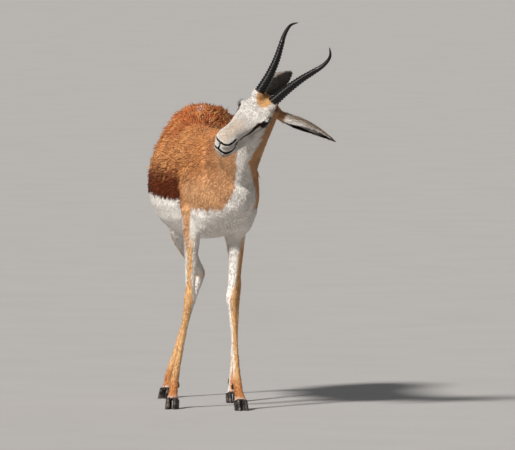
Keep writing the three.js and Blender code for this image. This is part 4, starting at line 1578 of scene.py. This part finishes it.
def part_weights(points):
    head = is_head(points)
    neck = is_neck(points) * (1 - head)
    leg = is_leg(points)
    tail = is_tail(points)
    ear = np.abs(ear_of(points))
    trunk = (1 - head) * (1 - neck) * (1 - leg) * (1 - tail) * (1 - ear)
    return dict(head=head * (1 - ear), neck=neck * (1 - ear), leg=leg, tail=tail * (1 - leg),
                trunk=trunk, ear=ear)


WEIGHTS = part_weights(CENTRES)


def coloured(roots, normals, dice, spread):
    colours = all_colours(roots, normals)
    slow = 1 + 0.10 * waves(roots, 0.03, 21)
    return colours * (slow * np.exp(dice.normal(0, 1, len(roots)) * spread))[:, None]


def calmness(roots, normals):
    """1 in white hair and on the chest, which lie flat, and 0 in the rough red coat"""
    white = ramp(all_colours(roots, normals)[:, 2], 0.35, 0.60)
    return np.maximum(white, 0.9 * calm_front(roots))


def trunk_locks(count, seed, where, size_of, root_to_tip_shading):
    """Roots, sizes and colours of one layer of the trunk's coat"""
    density = np.where(WEIGHTS["trunk"] > 0.5, 1.0, 0.0) * where(CENTRES)
    roots, normals, dice = scatter(count, density, seed)
    rough = roughness_of(roots)
    length, half, height, tip = size_of(roots, rough)
    swirl = waves(roots, 0.055, 41) * 0.35 + waves(roots, 0.016, 42) * (0.15 + 0.30 * rough)
    lies = turned_about(coat_lie(roots, normals), normals, swirl + dice.normal(0, 0.12, count))
    sizes = random_sizes(dice, count, length, half, height, tip, 0.22)
    calm = calmness(roots, normals)
    sizes = [value * (1 - share * calm) for value, share in zip(sizes, [0.35, 0.36, 0.65, 0.72])]
    colours = coloured(roots, normals, dice, (0.03 + 0.13 * rough) * (1 - 0.7 * calm))
    # Painted highlights: golden streaks laid in slow waves over the rough coat, standing for the
    # sun on the clumps
    painted_highlight = ramp(waves(roots, 0.02, 43), -0.2, 1.0) * 0.5 * ramp(rough, 0.1, 0.5)
    colours = lay_over(colours, PAINTED_HIGHLIGHT_GOLD, painted_highlight * (colours[:, 0] > 0.25))
    return roots, normals, lies, sizes, colours, root_to_tip_shading(rough) * (1 - 0.6 * calm), dice


def under_coat(points, rough):
    depth = coat_depth(points)
    return 0.0120 + 0.0060 * rough, 0.0009 + 0.0009 * rough, depth * 0.5, depth * 0.4


def top_coat(points, rough):
    depth = coat_depth(points)
    stray = ramp(waves(points, 0.014, 5), -0.1, 1.1)
    return (0.0150 + 0.0060 * rough, 0.0019 + 0.0007 * rough, depth * (0.75 + 0.15 * rough),
            depth * (0.75 + 0.55 * rough + 0.9 * rough * stray))


def grow_layer(name, layer, pieces):
    """One layer in several pieces from front to back"""
    roots, normals, lies, sizes, colours, root_to_tip_shading, dice = layer
    grown = []
    for index, chosen in enumerate(np.array_split(np.argsort(roots[:, 1]), pieces)):
        grown.append(grow_locks(name + "_" + str(index + 1), roots[chosen], normals[chosen],
                                lies[chosen], [value[chosen] for value in sizes], colours[chosen],
                                dice, root_to_tip_shading=root_to_tip_shading[chosen]))
    return grown


def grow_part(name, part, count, length, half, seed, spread=0.06, keep=None, turn=0.16,
              root_to_tip_shading=0.2, pieces=1):
    density = np.where(WEIGHTS[part] > 0.5, 1.0, 0.0)
    if keep is not None:
        density = density * keep(CENTRES)
    roots, normals, dice = scatter(count, density, seed)
    depth = np.maximum(coat_depth(roots), 0.0008)
    swirl = waves(roots, 0.04, seed + 1) * 0.2
    lies = turned_about(coat_lie(roots, normals), normals, swirl + dice.normal(0, turn, count))
    length = length(roots) if callable(length) else np.full(count, length)
    sizes = random_sizes(dice, count, length, half, depth * 0.7, depth * 0.6)
    if part == "neck":
        calm = calmness(roots, normals)
        sizes = [value * (1 - 0.45 * calm) for value in sizes]
    colours = coloured(roots, normals, dice, spread)
    grown = []
    for index, chosen in enumerate(np.array_split(np.argsort(roots[:, 0]), pieces)):
        grown.append(grow_locks(name + "_" + str(index + 1), roots[chosen], normals[chosen],
                                lies[chosen], [value[chosen] for value in sizes],
                                colours[chosen], dice, 2, root_to_tip_shading))
    return grown


def face_density(points):
    """Fewer locks on lips, nostrils and lids, and none in the slit of the eye"""
    places = head_places(points)
    keep = ramp(distance_on_muzzle(places, MOUTH_LINE), 4.4, 6.0)
    keep = keep * ramp(distance_on_muzzle(places, NOSTRIL_LINE), 3.8, 5.2)
    for hand in HANDS.values():
        reach, _ = lid_reach(places, hand)
        keep = keep * ramp(reach, 1.30, 1.5)
    return keep * (1 + 1.5 * (1 - ramp(places[:, 1], -60, -10)))


def face_length(points):
    back = head_places(points)[:, 1]
    return 0.0032 + 0.0030 * ramp(back, -80, 30)


def leg_length(points):
    return 0.0050 + 0.0040 * ramp(body_places(points)[:, 2], 0.30, 0.48)


# %% [markdown]
# ## Dressing the animal
# Every layer has a seed of its own, so the coat comes out the same in each run.

# %% Grow the layers
THINNING = 1.0
COUNTS = {part: int(count * THINNING) for part, count in LOCK_COUNTS.items()}
under = trunk_locks(COUNTS["under"], 31, lambda places: 1 + 1.3 * calm_front(places),
                    under_coat, lambda rough: 0.06 + 0.34 * rough)
over = trunk_locks(COUNTS["top"], 36, roughness_of, top_coat,
                   lambda rough: 0.10 + 0.45 * rough)
coat = grow_layer("coat_trunk_under", under, 3) + grow_layer("coat_trunk_top", over, 2)
coat += grow_part("coat_neck", "neck", COUNTS["neck"], 0.0100, 0.00075, seed=51)
coat += grow_part("coat_head", "head", COUNTS["head"], face_length, 0.00034, seed=61,
                  keep=face_density, turn=0.12, spread=0.04, root_to_tip_shading=0.10, pieces=2)
coat += grow_part("coat_legs", "leg", COUNTS["legs"], leg_length, 0.00055, seed=71,
                  turn=0.08, spread=0.04, root_to_tip_shading=0.12)
coat += grow_part("coat_ears", "ear", COUNTS["ears"], 0.0055, 0.0005, seed=81, turn=0.2)
print("coat faces:", sum(len(piece.data.polygons) for piece in coat))

# %% [markdown]
# ## Tail tuft, lashes and the fold of the back
# Below the white tail hangs a tuft of long dark hair, the upper lids carry lashes, and a few
# white hairs stand out of the fold along the middle of the back. All are the same closed
# locks, only set on their own lines.

# %% Long hair on its own lines
def grow_tail(count):
    dice = np.random.default_rng(91)
    line = np.array(TAIL_POINTS[2:])
    share = dice.uniform(0.05, 1, count) ** 0.8
    steps = np.linspace(0, 1, len(line))
    roots = np.stack([np.interp(share, steps, line[:, axis]) for axis in range(3)], 1)
    angle = dice.uniform(0, 2 * math.pi, count)
    normals = np.stack([np.cos(angle), np.sin(angle), np.zeros(count)], 1)
    girth = np.interp(share, [0, 0.4, 1], [0.0085, 0.0052, 0.002])
    roots = roots + normals * (girth * 0.8)[:, None]
    long = ramp(share, 0.35, 0.6)
    room = roots[:, 2] - TAIL_LOW.z
    length = np.minimum(0.012 + 0.052 * long, room * 0.98)
    lies = np.tile([0.0, 0.04, -1.0], (count, 1)) + normals * 0.06
    lies = flat_on(lies, normals)
    sizes = random_sizes(dice, count, length, 0.0007 + 0.0004 * long, 0.0012 + 0.0028 * long,
                         0.0008 + 0.002 * long, 0.12)
    sizes[0] = np.minimum(sizes[0], room * 0.99)
    colours = lay_over(np.tile(np.array(WHITE), (count, 1)), TUFT_BLACK, ramp(share, 0.28, 0.42))
    colours = colours * np.exp(dice.normal(0, 0.12, count))[:, None]
    return grow_locks("coat_tail", roots, normals, lies, sizes, colours, dice)


def grow_lashes(count):
    dice = np.random.default_rng(97)
    roots, lies, normals = [], [], []
    for hand in HANDS.values():
        for share in np.linspace(-0.85, 0.9, count):
            along = share * LID_HALF_LENGTH
            across = LID_HALF_HEIGHT * math.sqrt(1 - share * share)
            away = np.array([math.sqrt(max(LASH_REACH ** 2 - along ** 2 - across ** 2, 4)),
                             along * math.cos(LID_SLANT) - across * math.sin(LID_SLANT),
                             along * math.sin(LID_SLANT) + across * math.cos(LID_SLANT)])
            place = EYE_PLACES[hand] + away * [hand, 1, 1]
            roots.append(on_head(*place))
            lies.append(HEAD_AXES @ Vector((hand, -0.25 + 0.35 * share, 0.55)))
            normals.append(HEAD_AXES @ Vector((-hand * 0.4, 0, 1)))
    roots, lies, normals = np.array(roots), np.array(lies), np.array(normals)
    normals = normals / np.linalg.norm(normals, axis=1)[:, None]
    total = len(roots)
    sizes = random_sizes(dice, total, np.full(total, 0.0085), 0.00035, 0.0004, 0.0022, 0.15)
    colours = np.tile(np.array(BARE_DARK), (total, 1)) * 0.6
    return grow_locks("coat_lashes", roots, normals, flat_on(lies, normals), sizes, colours, dice)


def grow_back_fold(count):
    """Thin white hairs from the folded skin along the middle of the back"""
    dice = np.random.default_rng(101)
    order = np.argsort(np.abs(trunk_middle(CENTRES)) + 10 * (CENTRES[:, 2] < 0.70))
    _, places, _ = body_places(CENTRES[order]).T
    fold = order[(places > 0.13) & (places < 0.40)][:count * 2]
    chosen = dice.choice(fold, count, replace=False)
    normals = skin_normals[TRIANGLES[chosen]].mean(1)
    normals /= np.linalg.norm(normals, axis=1)[:, None]
    lies = turned_about(coat_lie(CENTRES[chosen], normals), normals, dice.normal(0, 0.15, count))
    sizes = random_sizes(dice, count, np.full(count, 0.026), 0.0006, 0.0080, 0.0105, 0.15)
    colours = np.tile(np.array(WHITE), (count, 1))
    return grow_locks("coat_back_fold", CENTRES[chosen], normals, lies, sizes, colours, dice)


coat.append(grow_tail(COUNTS["tail"]))
coat.append(grow_back_fold(BACK_FOLD_HAIRS))
coat.append(grow_lashes(LASHES))
print("coat pieces:", [(piece.name, len(piece.data.polygons)) for piece in coat])
